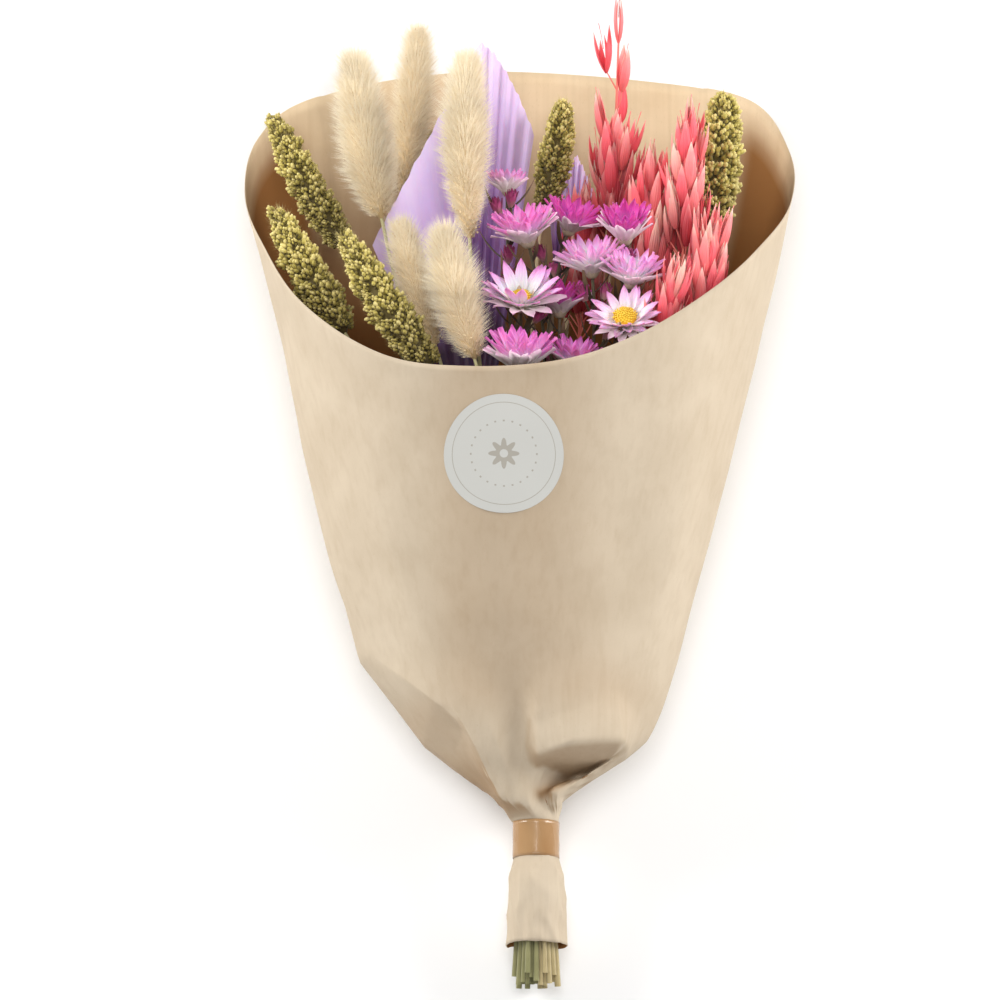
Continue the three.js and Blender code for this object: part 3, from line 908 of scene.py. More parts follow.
@dataclass(eq=False)
class KraftWrap:
    """The rolled sheet of kraft paper: open cone, gathers, neck and crumpled tail.

    rims to pinches are rows of points down the sheet, one for each of 16 fold lines, from the left over
    the front. sleeve holds the y, radius and pleat depth of the rows under and below the tape.
    row_marks says how far down the sheet each row lies on the grid, so that the short rows of the
    gathers get their share. ridge_turn to ridge_height shape the soft ridge down the left of the front.
    """

    bunch: Bunch
    sheet: float = 0.35
    columns: int = 260
    rows: int = 146
    pleats: int = 7
    pleat_depth: float = 0.25
    ragged: float = 1.6
    flat_below: float = 1.5
    ridge_turn: float = 0.155
    ridge_half: float = 0.035
    ridge_height: float = 1.0
    row_marks: tuple[float, ...] = (0.0, 0.34, 0.47, 0.56, 0.64, 0.71, 0.77, 0.82, 0.88, 1.0)
    rims: Folds = (
        (-121.5, 130, 38), (-111.5, 98, 66), (-92, 62, 93), (-58, 34, 112), (-21, 27, 118), (18, 30, 118),
        (50, 43, 113), (79, 64, 103), (101, 88, 86), (119.5, 124, 47), (120.5, 156, 23), (104, 187, 5),
        (55, 198, 0), (-26, 202, 0), (-93, 189, 2), (-117, 163, 20),
    )
    shoulders: Folds = (
        (-68.5, -79, 30), (-65, -77, 41), (-46, -80, 60), (-28, -82, 68), (-6, -84, 71), (14, -83, 71),
        (34, -80, 67), (52, -78, 58), (62, -78, 45), (67.5, -80, 32), (60, -80, 10), (42, -80, 0),
        (20, -80, 0), (-12, -80, 0), (-42, -80, 0), (-60, -80, 12),
    )
    ridges: Folds = (
        (-41, -114, 28), (-37, -102, 57), (-28, -106, 60), (-13, -110, 61), (0, -110, 57), (8, -111, 63),
        (25, -106, 66), (41, -98, 58), (51, -104, 44), (54, -114, 30), (46, -112, 10), (30, -108, 4),
        (14, -106, 3), (-4, -106, 3), (-24, -108, 5), (-38, -113, 12),
    )
    brows: Folds = (
        (-29, -124, 28), (-24, -114, 53), (-20, -120, 56), (-9, -124, 55), (1, -123, 50), (8, -124, 57),
        (22, -121.5, 65), (43, -119, 57), (46, -120, 43), (45, -122, 29), (38, -121, 12), (25, -118, 8),
        (13, -116, 7), (-1, -116, 7), (-17, -118, 9), (-28, -122, 15),
    )
    hollows: Folds = (
        (-18, -132, 28), (-17, -129, 47), (-14, -131, 49), (-5, -134, 48), (2, -132, 46), (9, -131, 43),
        (19, -131, 28), (29, -128, 28), (32, -128.5, 40), (34.5, -129, 30), (27, -131, 17), (18, -130, 13),
        (10, -129, 12), (3, -129, 12), (-8, -130, 14), (-17, -132, 18),
    )
    pinches: Folds = (
        (-7, -143, 28), (-10, -140, 41), (-7, -142, 43), (-3, -143, 42.5), (3, -142, 44), (7.5, -140, 40.5),
        (10.5, -138.5, 38.2), (14, -138, 43.5), (17, -139, 41), (18.5, -139, 29), (15, -141, 19),
        (12, -141, 16.5), (8.5, -141, 15.5), (4.5, -141, 15.5), (0, -141, 17), (-4.5, -142, 21),
    )
    sleeve: Folds = ((-149, 9.2, 0.0), (-164, 9.2, 0.0), (-172, 11.4, 0.5), (-200, 12.3, 0.7))

    def on_folds(self, folds: Folds, turn: float, crisp: float) -> Vector:
        """Gives a point between the fold lines on one row.

        Args:
            folds: the row's points, one per fold line.
            turn: the share of the way round.
            crisp: 0 for a smooth round row, 1 for straight stretches between sharp folds.

        Returns:
            The point.
        """
        count = len(folds)
        at = (turn * count) % count
        i = int(at)
        part = at - i
        a, b, c, d = (Vector(folds[(i + k) % count]) for k in (-1, 0, 1, 2))
        smooth = b + (c - a + (a * 2 - b * 5 + c * 4 - d + ((b - c) * 3 + d - a) * part) * part) * (part / 2)
        return smooth.lerp(b.lerp(c, part), crisp)

    def on_sleeve(self, level: tuple[float, float, float], turn: float) -> Vector:
        """Gives a point of the sleeve under and below the tape.

        Args:
            level: the y, radius and pleat depth of the row.
            turn: the share of the way round.

        Returns:
            The point.
        """
        y, radius, pleat = level
        angle = math.pi - turn * FULL_TURN
        if level == self.sleeve[-1]:
            y += self.ragged * noise.noise(Vector((2 * math.cos(angle), 2 * math.sin(angle), 5)))
        pleated = radius + self.pleat_depth * pleat * math.cos(self.pleats * angle)
        return self.bunch.middle(y) + round_y(angle, pleated)

    @lru_cache(maxsize=None)
    def column(self, turn: float) -> tuple[Vector, ...]:
        """Gives the points that one line down the sheet passes through.

        Args:
            turn: the share of the way round.

        Returns:
            The points, from the rim to the end of the tail.
        """
        sharp = self.sharpness(turn)
        rows = (self.rims, self.shoulders, self.ridges, self.brows, self.hollows, self.pinches)
        crisps = (0.0, 0.2, sharp, sharp, sharp, 0.4)
        cone = [self.on_folds(folds, turn, crisp) for folds, crisp in zip(rows, crisps)]
        return tuple(cone + [self.on_sleeve(level, turn) for level in self.sleeve])

    def on_sheet(self, turn: float, down: float) -> Vector:
        """Gives a point of the sheet's outer face.

        Args:
            turn: the share of the way round, from the left over the front.
            down: the share of the way from the free edge to the tail.

        Returns:
            The point.
        """
        points = self.column(turn % 1.0)
        rows = len(points) - 1
        at = min(max(self.stretch(down), 0.0), 0.99999) * rows
        i = int(at)
        part = at - i
        b, c = points[i], points[i + 1]
        a = points[i - 1] if i else b * 2 - c
        d = points[i + 2] if i + 2 <= rows else c * 2 - b
        span = (c - b).length
        start = self.heading(a, b, c) * span
        end = self.heading(b, c, d) * span
        t2, t3 = part * part, part**3
        smooth = b * (2 * t3 - 3 * t2 + 1) + start * (t3 - 2 * t2 + part)
        smooth = smooth + c * (3 * t2 - 2 * t3) + end * (t3 - t2)
        point = smooth.lerp(b.lerp(c, part), self.crispness(turn, at))
        if point.z < self.flat_below:
            point.z = 0.0
        return point

    def stretch(self, down: float) -> float:
        """Finds how far down the rows of points a place on the grid lies.

        Args:
            down: the share of the way down the grid.

        Returns:
            The share of the way down the rows of points.
        """
        rows = len(self.row_marks) - 1
        for i, (before, after) in enumerate(zip(self.row_marks, self.row_marks[1:])):
            if down <= after:
                return (i + (down - before) / (after - before)) / rows
        return 1.0

    @staticmethod
    def heading(before: Vector, here: Vector, after: Vector) -> Vector:
        """Gives the direction of a smooth line through the middle one of three points."""
        first, second = here - before, after - here
        return (first.normalized() * second.length + second.normalized() * first.length).normalized()

    @staticmethod
    def sharpness(turn: float) -> float:
        """Gives how sharp the folds are where the paper is gathered, sharpest at the left crease.

        Args:
            turn: the share of the way round.

        Returns:
            The sharpness, from 0 for round to 1 for straight stretches.
        """
        fold = turn * 16
        left = 1 - smooth_step(0.7, 1.7, abs(fold - 1))
        right = 0.6 * (1 - smooth_step(0.8, 1.8, abs(fold - 8.5)))
        return 0.25 + 0.7 * max(left, right)

    @staticmethod
    def crispness(turn: float, row: float) -> float:
        """Gives how sharply the sheet turns at its rows: sharp at the sides and under the right lobe.

        Args:
            turn: the share of the way round.
            row: the row of points.

        Returns:
            The crispness, from 0 for round to 1 for straight stretches.
        """
        fold = turn * 16
        off_front = abs(((turn - 5 / 16 + 0.5) % 1.0) - 0.5)
        sides = smooth_step(0.2, 0.3, off_front)
        lobe = smooth_step(4.8, 6.2, fold) * smooth_step(2.0, 2.8, row)
        left = (1 - smooth_step(1.4, 3.0, fold)) * smooth_step(1.6, 2.2, row)
        return max(sides, 0.65 * lobe, 0.6 * left)

    def crumple(self, point: Vector, turn: float, down: float) -> float:
        """Gives how far the paper is dented.

        Args:
            point: the place on the smooth sheet.
            turn: its share of the way round.
            down: its share of the way down the grid.

        Returns:
            The way outwards, in millimetres.
        """
        gathered = smooth_step(0.3, 0.6, down) * (1 - smooth_step(0.74, 0.77, down))
        near_tie = smooth_step(0.6, 0.72, down) * (1 - smooth_step(0.75, 0.78, down))
        tail = smooth_step(0.83, 0.87, down)
        ringed = Vector((math.cos(turn * FULL_TURN), math.sin(turn * FULL_TURN), 0))
        soft = noise.noise(point / 60) * 1.4 + noise.noise(point / 24) * 0.4
        crease = 1 - abs(noise.noise(ringed * 3.2 + Vector((0, 0, down * 5)))) * 2.6
        fold = 1 - abs(noise.noise(ringed * 1.5 + Vector((2, 6, down * 14)))) * 2.8
        crush = 1 - abs(noise.noise(point / 9 + Vector((7, 3, 1)))) * 2.4
        fine = noise.noise(point / 4)
        on_ridge = max(0.0, 1 - abs(turn - self.ridge_turn) / self.ridge_half)
        ridge = on_ridge * (1 - smooth_step(0.45, 0.62, down))
        return (
            soft * (1 - 0.6 * gathered - tail)
            + self.ridge_height * ridge
            + gathered * (0.3 * crease + 0.12 * crush)
            + near_tie * 0.6 * crush
            + tail * (0.7 * fold + 0.15 * crease + 0.3 * crush + 0.03 * fine)
        )

    @staticmethod
    def fold_pocket_shade(x: float, y: float) -> float:
        """Gives the painted shade of the deep fold to the right of the neck, most along its bottom.

        Args:
            x: the place across.
            y: the place along.

        Returns:
            The painted shade, 0 away from the fold.
        """
        foot_x, foot_y, reach_x, reach_y, half = 9, -139, 11, 7, 2.8
        dot = (x - foot_x) * reach_x + (y - foot_y) * reach_y
        share = min(max(dot / (reach_x**2 + reach_y**2), 0), 1)
        aside = math.hypot(x - foot_x - reach_x * share, y - foot_y - reach_y * share)
        return 1.3 * math.exp(-((aside / half) ** 2))

    @staticmethod
    def flat_middle_shade(x: float, y: float) -> float:
        """Gives the painted shade on the flat middle of the front, down to the gathers.

        Args:
            x: the place across.
            y: the place along.

        Returns:
            The painted shade, 0 away from the middle.
        """
        lower = 1 - smooth_step(-100, -75, y)
        across = smooth_step(-46, -22, x) * (1 - smooth_step(4 + 30 * lower, 50 + 20 * lower, x))
        return 0.4 * across * smooth_step(-118, -96, y)

    def paint_paper_shade(self, shape: Shape) -> None:
        """Marks where painted shade darkens the paper.

        Outside, the first mark holds painted shade on the steep sides of the folds that face left, in the
        deep fold and on the flat middle. Inside, depth holds painted shade deep down and where the sheet
        turns up from the table.

        Args:
            shape: the sheet, which gets the two numbers at each vertex.
        """
        painted_fold_shade = shape.verts.layers.float.new("painted_fold_shade")
        depth = shape.verts.layers.float.new("depth")
        along = shape.loops.layers.uv.active
        shape.normal_update()
        for vert in shape.verts:
            x, y, z = vert.co
            down = 1 - vert.link_loops[0][along].uv.y
            gathered = smooth_step(-150, -144, y) * (1 - smooth_step(-108, -92, y))
            steep = 1 - smooth_step(0.4, 0.75, vert.normal.z)
            facing_left = smooth_step(0.1, 0.5, -0.7 * (vert.normal.x + vert.normal.y))
            near_tie = 1 - smooth_step(-136, -116, y)
            # painted shade on the steep fold sides that face left and down, strongest near the tie; the fold
            # pocket and the flat middle add painted shade too
            side = gathered * steep * facing_left * (0.45 + 0.65 * near_tie)
            vert[painted_fold_shade] = max(side, self.fold_pocket_shade(x, y), self.flat_middle_shade(x, y))
            # painted shade inside: deep down in the cone and in the corners where the sheet turns up from the
            # table
            turned_up = smooth_step(1.5, 8, z) * smooth_step(62, 92, abs(x)) * smooth_step(0.004, 0.028, down)
            vert[depth] = max(1 - smooth_step(70, 185, y), turned_up)

    def on_paper(self, turn: float, along: float) -> Vector:
        """Gives a point of the sheet's outer face with its dents, which fade towards the table.

        Args:
            turn: the share of the way round, from the left over the front.
            along: the share of the way from the tail to the free edge.

        Returns:
            The point.
        """
        down, near = 1 - along, 0.004
        point = self.on_sheet(turn, down)
        beside = self.on_sheet(turn + near, down) - self.on_sheet(turn - near, down)
        ahead = self.on_sheet(turn, down + near) - self.on_sheet(turn, down - near)
        outward = ahead.cross(beside).normalized()
        off_edge = smooth_step(0, 0.02, down)
        dent = self.crumple(point, turn, down) * (0.4 + 0.6 * off_edge)
        if point.z < 6:
            dent *= smooth_step(0, 6, point.z)
        moved = point + outward * dent
        moved.z = max(moved.z, 0.0)
        return moved

    def build(self) -> Piece:
        """Makes the sheet.

        Returns:
            The piece, which the label is pressed onto.
        """
        shape = mapped_grid(self.columns, self.rows, self.on_paper, closed=True)
        self.paint_paper_shade(shape)
        # The inside finish paints shade, deep brown, where the depth mark lies.
        inside = KraftFinish(
            "kraft_inside",
            pale=srgb(220, 197, 164),
            mid=srgb(208, 183, 148),
            fibre=srgb(160, 132, 96),
            mark="depth",
            painted_shade=srgb(136, 90, 42),
            painted_shade_by=1.0,
        )
        finishes = [KraftFinish().build(), inside.build()]
        piece = finish_piece("kraft_sheet", shape, finishes, Slot.KRAFT, "kraft_wrap")
        thicken(piece, self.sheet, inner_slot=1)
        return piece


@dataclass
class RoundLabel:
    """The round paper label on the front of the wrap.

    x and y are its middle, and slope is how much shorter it is along y than across, as it lies on the
    slope of the cone.
    """

    wrap: Piece
    x: float = -7
    y: float = -7
    radius: float = 25
    slope: float = 0.93
    lift: float = 0.12
    thick: float = 0.16
    sides: int = 96
    rings: int = 10
    drop_from: float = 0.2

    def on_wrap(self, tree: BVHTree, turn: float, out: float) -> Vector:
        """Gives a point of the label's outer face, which follows the paper.

        Args:
            tree: the wrap's faces.
            turn: the share of the way round the label.
            out: the share of the way out from its middle.

        Returns:
            The point.
        """
        angle = turn * FULL_TURN
        x = self.x + math.cos(angle) * out * self.radius
        y = self.y + math.sin(angle) * out * self.radius * self.slope
        hit, normal, _, _ = tree.ray_cast(Vector((x * MM, y * MM, self.drop_from)), -UP)
        return hit / MM + normal * (self.lift + self.thick)

    def build(self) -> None:
        """Makes the label, pressed onto the paper below it."""
        tree = BVHTree.FromObject(self.wrap, bpy.context.evaluated_depsgraph_get())
        shape = mapped_grid(self.sides, self.rings, partial(self.on_wrap, tree), closed=True)
        bmesh.ops.solidify(shape, geom=shape.faces[:], thickness=self.thick)
        finish_piece("label_disc", shape, [LabelFinish().build()], Slot.LABEL, "round_label")


@dataclass
class NeckTape:
    """The strip of tan tape that binds the paper round the stems."""

    bunch: Bunch
    radius: float = 9.75
    overlap: float = 0.3
    thick: float = 0.12
    turns: float = 1.12
    start: float = -0.9
    skew: float = 0.35
    columns: int = 128
    rows: int = 10

    def on_neck(self, turn: float, along: float) -> Vector:
        """Gives a point of the strip, which follows the folds under it.

        Args:
            turn: the share of the strip's length.
            along: the share of its width.

        Returns:
            The point.
        """
        angle = self.start + turn * self.turns * FULL_TURN
        y = lerp(self.bunch.tape_from, self.bunch.tape_to, along)
        waist = 0.12 * math.sin(5 * angle) + 0.1 * noise.noise(Vector((angle * 2, y / 4, 0)))
        radius = self.radius + self.overlap * turn + waist
        return self.bunch.middle(y + self.skew * turn) + round_y(angle, radius)

    def build(self) -> None:
        """Makes the strip, wound a little over one turn."""
        shape = mapped_grid(self.columns, self.rows, self.on_neck)
        piece = finish_piece("tape_strip", shape, [TapeFinish().build()], Slot.TAPE, "neck_tape")
        thicken(piece, self.thick)


@dataclass
class StemTie:
    """The elastic that holds the stems together inside the paper."""

    bunch: Bunch
    radius: float = 8.6
    strands: int = 3
    strand_radius: float = 0.65
    strand_pitch: float = 1.6
    sway: float = 0.4

    def on_strand(self, strand: int, turn: float, along: float) -> Vector:
        """Gives a point of one strand.

        Args:
            strand: its number.
            turn: the share of the way round the bunch.
            along: the share of the way round the strand.

        Returns:
            The point.
        """
        angle, tube = turn * FULL_TURN, along * FULL_TURN
        offset = round_y(angle, self.radius + self.strand_radius * math.cos(tube))
        offset.y = self.strand_radius * math.sin(tube) + self.sway * math.sin(angle + strand)
        return self.bunch.middle(self.bunch.tie_at.y + (strand - 1) * self.strand_pitch) + offset

    def build(self) -> None:
        """Makes the strands side by side round the bunch."""
        shape = bmesh.new()
        for strand in range(self.strands):
            add_shape(shape, mapped_grid(48, 8, partial(self.on_strand, strand), closed=True))
        rubber = shades((0.0, (176, 136, 84)), (1.0, (200, 158, 102)))
        band = PlantFinish("elastic_rubber", rubber, rough=(0.5, 0.6))
        finish_piece("elastic_strands", shape, [band.build()], Slot.ELASTIC, "stem_tie")


def grain_cluster(draws: Draws, count: int, reach: float, grain: float) -> Template:
    """Makes a cluster of seed grains that stands on the origin and points along y.

    Args:
        draws: the source of small differences.
        count: the number of grains.
        reach: the cluster's height.
        grain: a grain's radius.

    Returns:
        The template mesh.
    """
    cluster = new_shape()
    for k in range(count):
        share = (k + 0.5) / count
        out = reach * 0.42 * math.sin(math.pi * min(share * 0.85 + 0.12, 1))
        spot = round_y(k * GOLDEN_ANGLE, out)
        spot.y = reach * share
        size = grain * draws.between(0.8, 1.2)
        pod = new_shape()
        bmesh.ops.create_icosphere(pod, subdivisions=1, radius=size, calc_uvs=True)
        bmesh.ops.scale(pod, vec=(0.85, 1.25, 0.85), verts=pod.verts)
        bmesh.ops.translate(pod, vec=spot, verts=pod.verts)
        set_along(pod, lambda _: share)
        add_shape(cluster, pod)
    return as_template(cluster)


def needle_tuft(draws: Draws, count: int, length: float, thick: float, spread: float) -> Template:
    """Makes a tuft of fine needles that stands on the origin and points along y.

    Args:
        draws: the source of small differences.
        count: the number of needles.
        length: a needle's mean length.
        thick: a needle's radius at its root.
        spread: how far the needles part, in radians.

    Returns:
        The template mesh.
    """
    tuft = new_shape()
    for k in range(count):
        lean = spread * math.sqrt((k + 0.5) / count)
        angle = k * GOLDEN_ANGLE + draws.next()
        reach = length * draws.between(0.65, 1.15)
        needle = new_shape()
        bmesh.ops.create_cone(needle, segments=3, cap_ends=True, radius1=thick, depth=reach, calc_uvs=True)
        set_along(needle, lambda point: point.z / reach + 0.5)
        bmesh.ops.translate(needle, vec=(0, 0, reach / 2), verts=needle.verts)
        turn_shape(needle, Z_TO_Y)
        turn_shape(needle, Matrix.Rotation(angle, 3, "Y") @ Matrix.Rotation(lean, 3, "X"))
        foot = Vector((draws.between(-0.5, 0.5), 0, draws.between(-0.5, 0.5)))
        bmesh.ops.translate(needle, vec=foot, verts=needle.verts)
        add_shape(tuft, needle)
    return as_template(tuft)


def outward_frame(path: Path, share: float, angle: float, radius: float, forward: float) -> Matrix:
    """Gives the frame of something on a spike, whose y points out and leans forward to the tip."""
    away = round_y(angle) * math.cos(forward) + ALONG * math.sin(forward)
    return path.frame(share) @ facing(round_y(angle) * radius, away, ALONG)


def stem_finish(bunch: Bunch, order: int) -> Material:
    """Gives a stem's finish: green on the left of the bunch, straw on the right."""
    return stem_colour(bunch.seats[order][0] < 0.5)


@lru_cache(maxsize=None)
def stem_colour(green: bool) -> Material:
    """Makes a finish that stems share, with painted shade near the heads of the flowers.

    Args:
        green: whether they are green and not straw.

    Returns:
        The material.
    """
    stops = shades((0.0, (176, 160, 116)), (0.5, (206, 190, 146)), (1.0, (222, 206, 164)))
    if green:
        stops = shades((0.0, (134, 132, 88)), (0.5, (156, 152, 108)), (1.0, (182, 174, 128)))
    return PlantFinish(
        "green_stem" if green else "straw_stem", stops, spread=0.35, cell_scale=160, rough=(0.5, 0.7),
        # the mark near the heads brings painted shade
        veins=5, painted_shade=("near_head", srgb(40, 26, 16)), painted_shade_by=0.8,
    ).build()


@dataclass
class Plant:
    """A plant with a long head. Its numbers count it in its node's name and among all plants.

    The head runs from base, where it meets its stem, to tip.
    """

    number: int
    order: int
    base: Vector
    tip: Vector

    def __post_init__(self) -> None:
        """Turns the two ends into vectors."""
        self.base, self.tip = Vector(self.base), Vector(self.tip)

    @property
    def direction(self) -> Vector:
        """The way that the head goes from its stem."""
        return (self.tip - self.base).normalized()

    def paint_foot_shade(self, shape: Shape, low: float, high: float) -> None:
        """Marks how near the foot of the head each vertex is, where painted shade darkens it.

        Args:
            shape: the plant.
            low: the share of the head's length up to which the mark is full.
            high: the share from which it is 0.
        """
        foot = shape.verts.layers.float.new("foot")
        reach = self.tip - self.base
        for vert in shape.verts:
            share = (vert.co - self.base).dot(reach) / reach.length_squared
            vert[foot] = 1 - smooth_step(low, high, share)


@dataclass
class Spike(Plant):
    """A plant whose head is one round spike, with a radius where it is fullest.

    full_at is under 1 if that is below its middle. The smaller fullness is, the blunter are the ends.
    foot_girth and narrowing say how much it narrows from foot to tip.
    """

    radius: float
    full_at: float = 0.8
    _: KW_ONLY
    fullness: float = 0.35
    foot_girth: float = 1.08
    narrowing: float = 0.16
    sideways_nod: float = 0.02
    upward_nod: float = 0.015

    def path(self) -> Path:
        """Gives the middle line.

        Returns:
            The line, which nods a little.
        """
        sideways = math.copysign(self.sideways_nod, self.tip.x - self.base.x)
        nod = Vector((sideways, 0, self.upward_nod)) * (self.tip - self.base).length
        return Path(curve_through((self.base, self.base.lerp(self.tip, 0.5) + nod, self.tip), 10))

    def girth(self, share: float) -> float:
        """Gives the head's radius at a share of its length."""
        full = math.sin(math.pi * min(max(share, 0.001), 0.999) ** self.full_at) ** self.fullness
        return self.radius * full * (self.foot_girth - self.narrowing * share)

    def core(self, path: Path, share_of_girth: float, sides: int) -> Shape:
        """Makes the core that the grains or hairs stand on, a share of the head's girth thick."""
        line = [path.frame(k / 16).translation for k in range(17)]
        return closed_tube(line, lambda share: self.girth(share) * share_of_girth, sides)


@dataclass
class Foxtail(Spike):
    """A foxtail millet head: clusters of small grains with fine bristles, on its stem."""

    _: KW_ONLY
    clusters: tuple[tuple[int, float], ...] = ((7, 2.4), (9, 3.0), (10, 3.6), (8, 3.1))
    grain: float = 0.68
    bristles: int = 8
    bristle_length: float = 4.2
    crowding: float = 0.42
    core_share: float = 0.64
    root_share: float = 0.62

    def build(self, bunch: Bunch) -> None:
        """Makes the head and its stem.

        Args:
            bunch: the tied stems.
        """
        draws = Draws(self.order + 101)
        path = self.path()
        shape = new_shape()
        add_shape(shape, self.core(path, self.core_share, sides=10), 2)
        clusters = [grain_cluster(draws, count, reach, self.grain) for count, reach in self.clusters]
        bristles = needle_tuft(draws, self.bristles, self.bristle_length, 0.06, 0.5)
        count = int(path.length * self.radius * self.crowding)
        for k in range(count):
            share = 0.015 + 0.97 * (k + 0.5) / count
            angle = k * GOLDEN_ANGLE + draws.between(-0.35, 0.35)
            forward = lerp(0.45, 1.2, share**3) + draws.between(-0.15, 0.3)
            size = draws.between(0.85, 1.6) * (0.5 + 0.5 * self.girth(share) / 7)
            spot = outward_frame(path, share, angle, self.girth(share) * self.root_share, forward)
            stamp(shape, clusters[int(draws.next() * 4)], spot @ Matrix.Scale(size, 4), 0)
            stamp(shape, bristles, spot @ Matrix.Translation((0, 1.4, 0)), 1)
        add_shape(shape, bunch.stem(self.order, path.frame(0.12).translation), 3)
        discard(*clusters, bristles)
        # painted shade towards the foot of the head
        self.paint_foot_shade(shape, 0.05, 0.7)
        finishes = [*self.finishes(), stem_finish(bunch, self.order)]
        finish_piece(f"foxtail_head_{self.number}", shape, finishes, Slot.MILLET, f"foxtail_{self.number}")

    @classmethod
    @lru_cache(maxsize=None)
    def finishes(cls) -> tuple[Material, ...]:
        """Makes the finishes once for all heads.

        Returns:
            The grain, bristle and core finishes; grains and bristles take painted shade at the foot of the
            head, and the core is dark as painted shade between the grain clusters.
        """
        grains = shades(
            (0.0, (96, 82, 30)), (0.3, (140, 126, 52)), (0.65, (198, 182, 90)), (1.0, (234, 218, 144))
        )
        bristles = shades((0.0, (184, 166, 92)), (1.0, (226, 210, 152)))
        # the colour of the painted shade at the foot of the head
        dark = ("foot", srgb(84, 68, 24))
        return (
            PlantFinish("millet_grain", grains, 0.5, 420, rough=(0.55, 0.8), painted_shade=dark).build(),
            PlantFinish("millet_bristle", bristles, painted_shade=dark).build(),
            # a dark core: painted shade between the grain clusters
            PlantFinish("millet_core", shades((0.0, (74, 62, 24)), (1.0, (104, 90, 40)))).build(),
        )


@dataclass
class HaresTail(Spike):
    """A hare's-tail head: husks under a coat of soft fine hair, on its stem."""

    _: KW_ONLY
    fullness: float = 0.55
    foot_girth: float = 1.0
    narrowing: float = 0.0
    hairs: int = 27
    hair_length: float = 7.0
    hair_root: float = 0.078
    hair_spread: float = 0.42
    crowding: float = 0.36
    core_share: float = 0.5

    def build(self, bunch: Bunch) -> None:
        """Makes the head and its stem.

        Args:
            bunch: the tied stems.
        """
        draws = Draws(self.order + 131)
        path = self.path()
        shape = new_shape()
        add_shape(shape, self.core(path, self.core_share, sides=12), 1)
        tuft = (self.hairs, self.hair_length, self.hair_root, self.hair_spread)
        tufts = [needle_tuft(draws, *tuft) for _ in range(4)]
        husks = grain_cluster(draws, 3, 3.6, 0.55)
        count = int(path.length * self.radius * self.crowding)
        for k in range(count):
            share = 0.02 + 0.93 * (k + 0.5) / count
            angle = k * GOLDEN_ANGLE
            girth = self.girth(share)
            forward = lerp(0.6, 1.3, share**2)
            reach = girth * 0.72 / max(math.cos(forward), 0.35)
            size = min(reach / self.hair_length, 1.7) * draws.between(0.9, 1.15)
            spot = outward_frame(path, share, angle, girth * 0.36, forward)
            stamp(shape, tufts[k % 4], spot @ Matrix.Scale(size, 4), 0)
            if k % 2 == 0:
                stamp(shape, husks, outward_frame(path, share, angle + 0.4, girth * 0.42, forward + 0.1), 1)
        add_shape(shape, bunch.stem(self.order, path.frame(0.12).translation), 2)
        discard(*tufts, husks)
        finishes = [*self.finishes(), stem_finish(bunch, self.order)]
        node = f"bunny_tail_{self.number}"
        finish_piece(f"hares_tail_{self.number}", shape, finishes, Slot.HARES_TAIL, node)

    @classmethod
    @lru_cache(maxsize=None)
    def finishes(cls) -> tuple[Material, ...]:
        """Makes the finishes once for all heads.

        Returns:
            The hair and husk finishes.
        """
        # The hair darkens towards its roots: painted shade inside the fluff.
        hair = shades((0.0, (240, 220, 182)), (0.5, (250, 236, 206)), (1.0, (255, 248, 228)))
        husk = shades((0.0, (200, 172, 126)), (1.0, (240, 218, 178)))
        return (
            PlantFinish("soft_hair", hair, 0.2, 200, rough=(0.6, 0.75), sheen=0.4).build(),
            PlantFinish("straw_husk", husk, cell_scale=260).build(),
        )


def husk_blade(
    length: float, width: float, depth: float, bow: float, faces: tuple[int, int] = (4, 7)
) -> Shape:
    """Makes a pointed boat-shaped husk that stands on the origin and points along y, open towards z.

    Args:
        length: from foot to point.
        width: at its widest.
        depth: how deep the boat is.
        bow: how far its middle bows back.
        faces: the faces across and along.

    Returns:
        The bmesh.
    """

    def place(across: float, along: float) -> Vector:
        """Gives a point of the husk.

        Args:
            across: the share of the way across.
            along: the share of the way to the point.

        Returns:
            The point.
        """
        half = width / 2 * math.sin(math.pi * (0.04 + 0.96 * along) ** 0.72) ** 0.9
        angle = (across - 0.5) * math.pi * 0.9
        x = half * math.sin(angle) / math.sin(math.pi * 0.45)
        z = -depth * (half / (width / 2)) * (math.cos(angle) - 0.2) - bow * math.sin(math.pi * along)
        return Vector((x, length * along, z))

    return mapped_grid(*faces, place)


@dataclass(frozen=True)
class Spikelet:
    """The place of one oat spikelet: its branch runs from foot to neck, and it points on from there."""

    foot: Vector
    neck: Vector
    pointing: Vector
    length: float
    turn: float


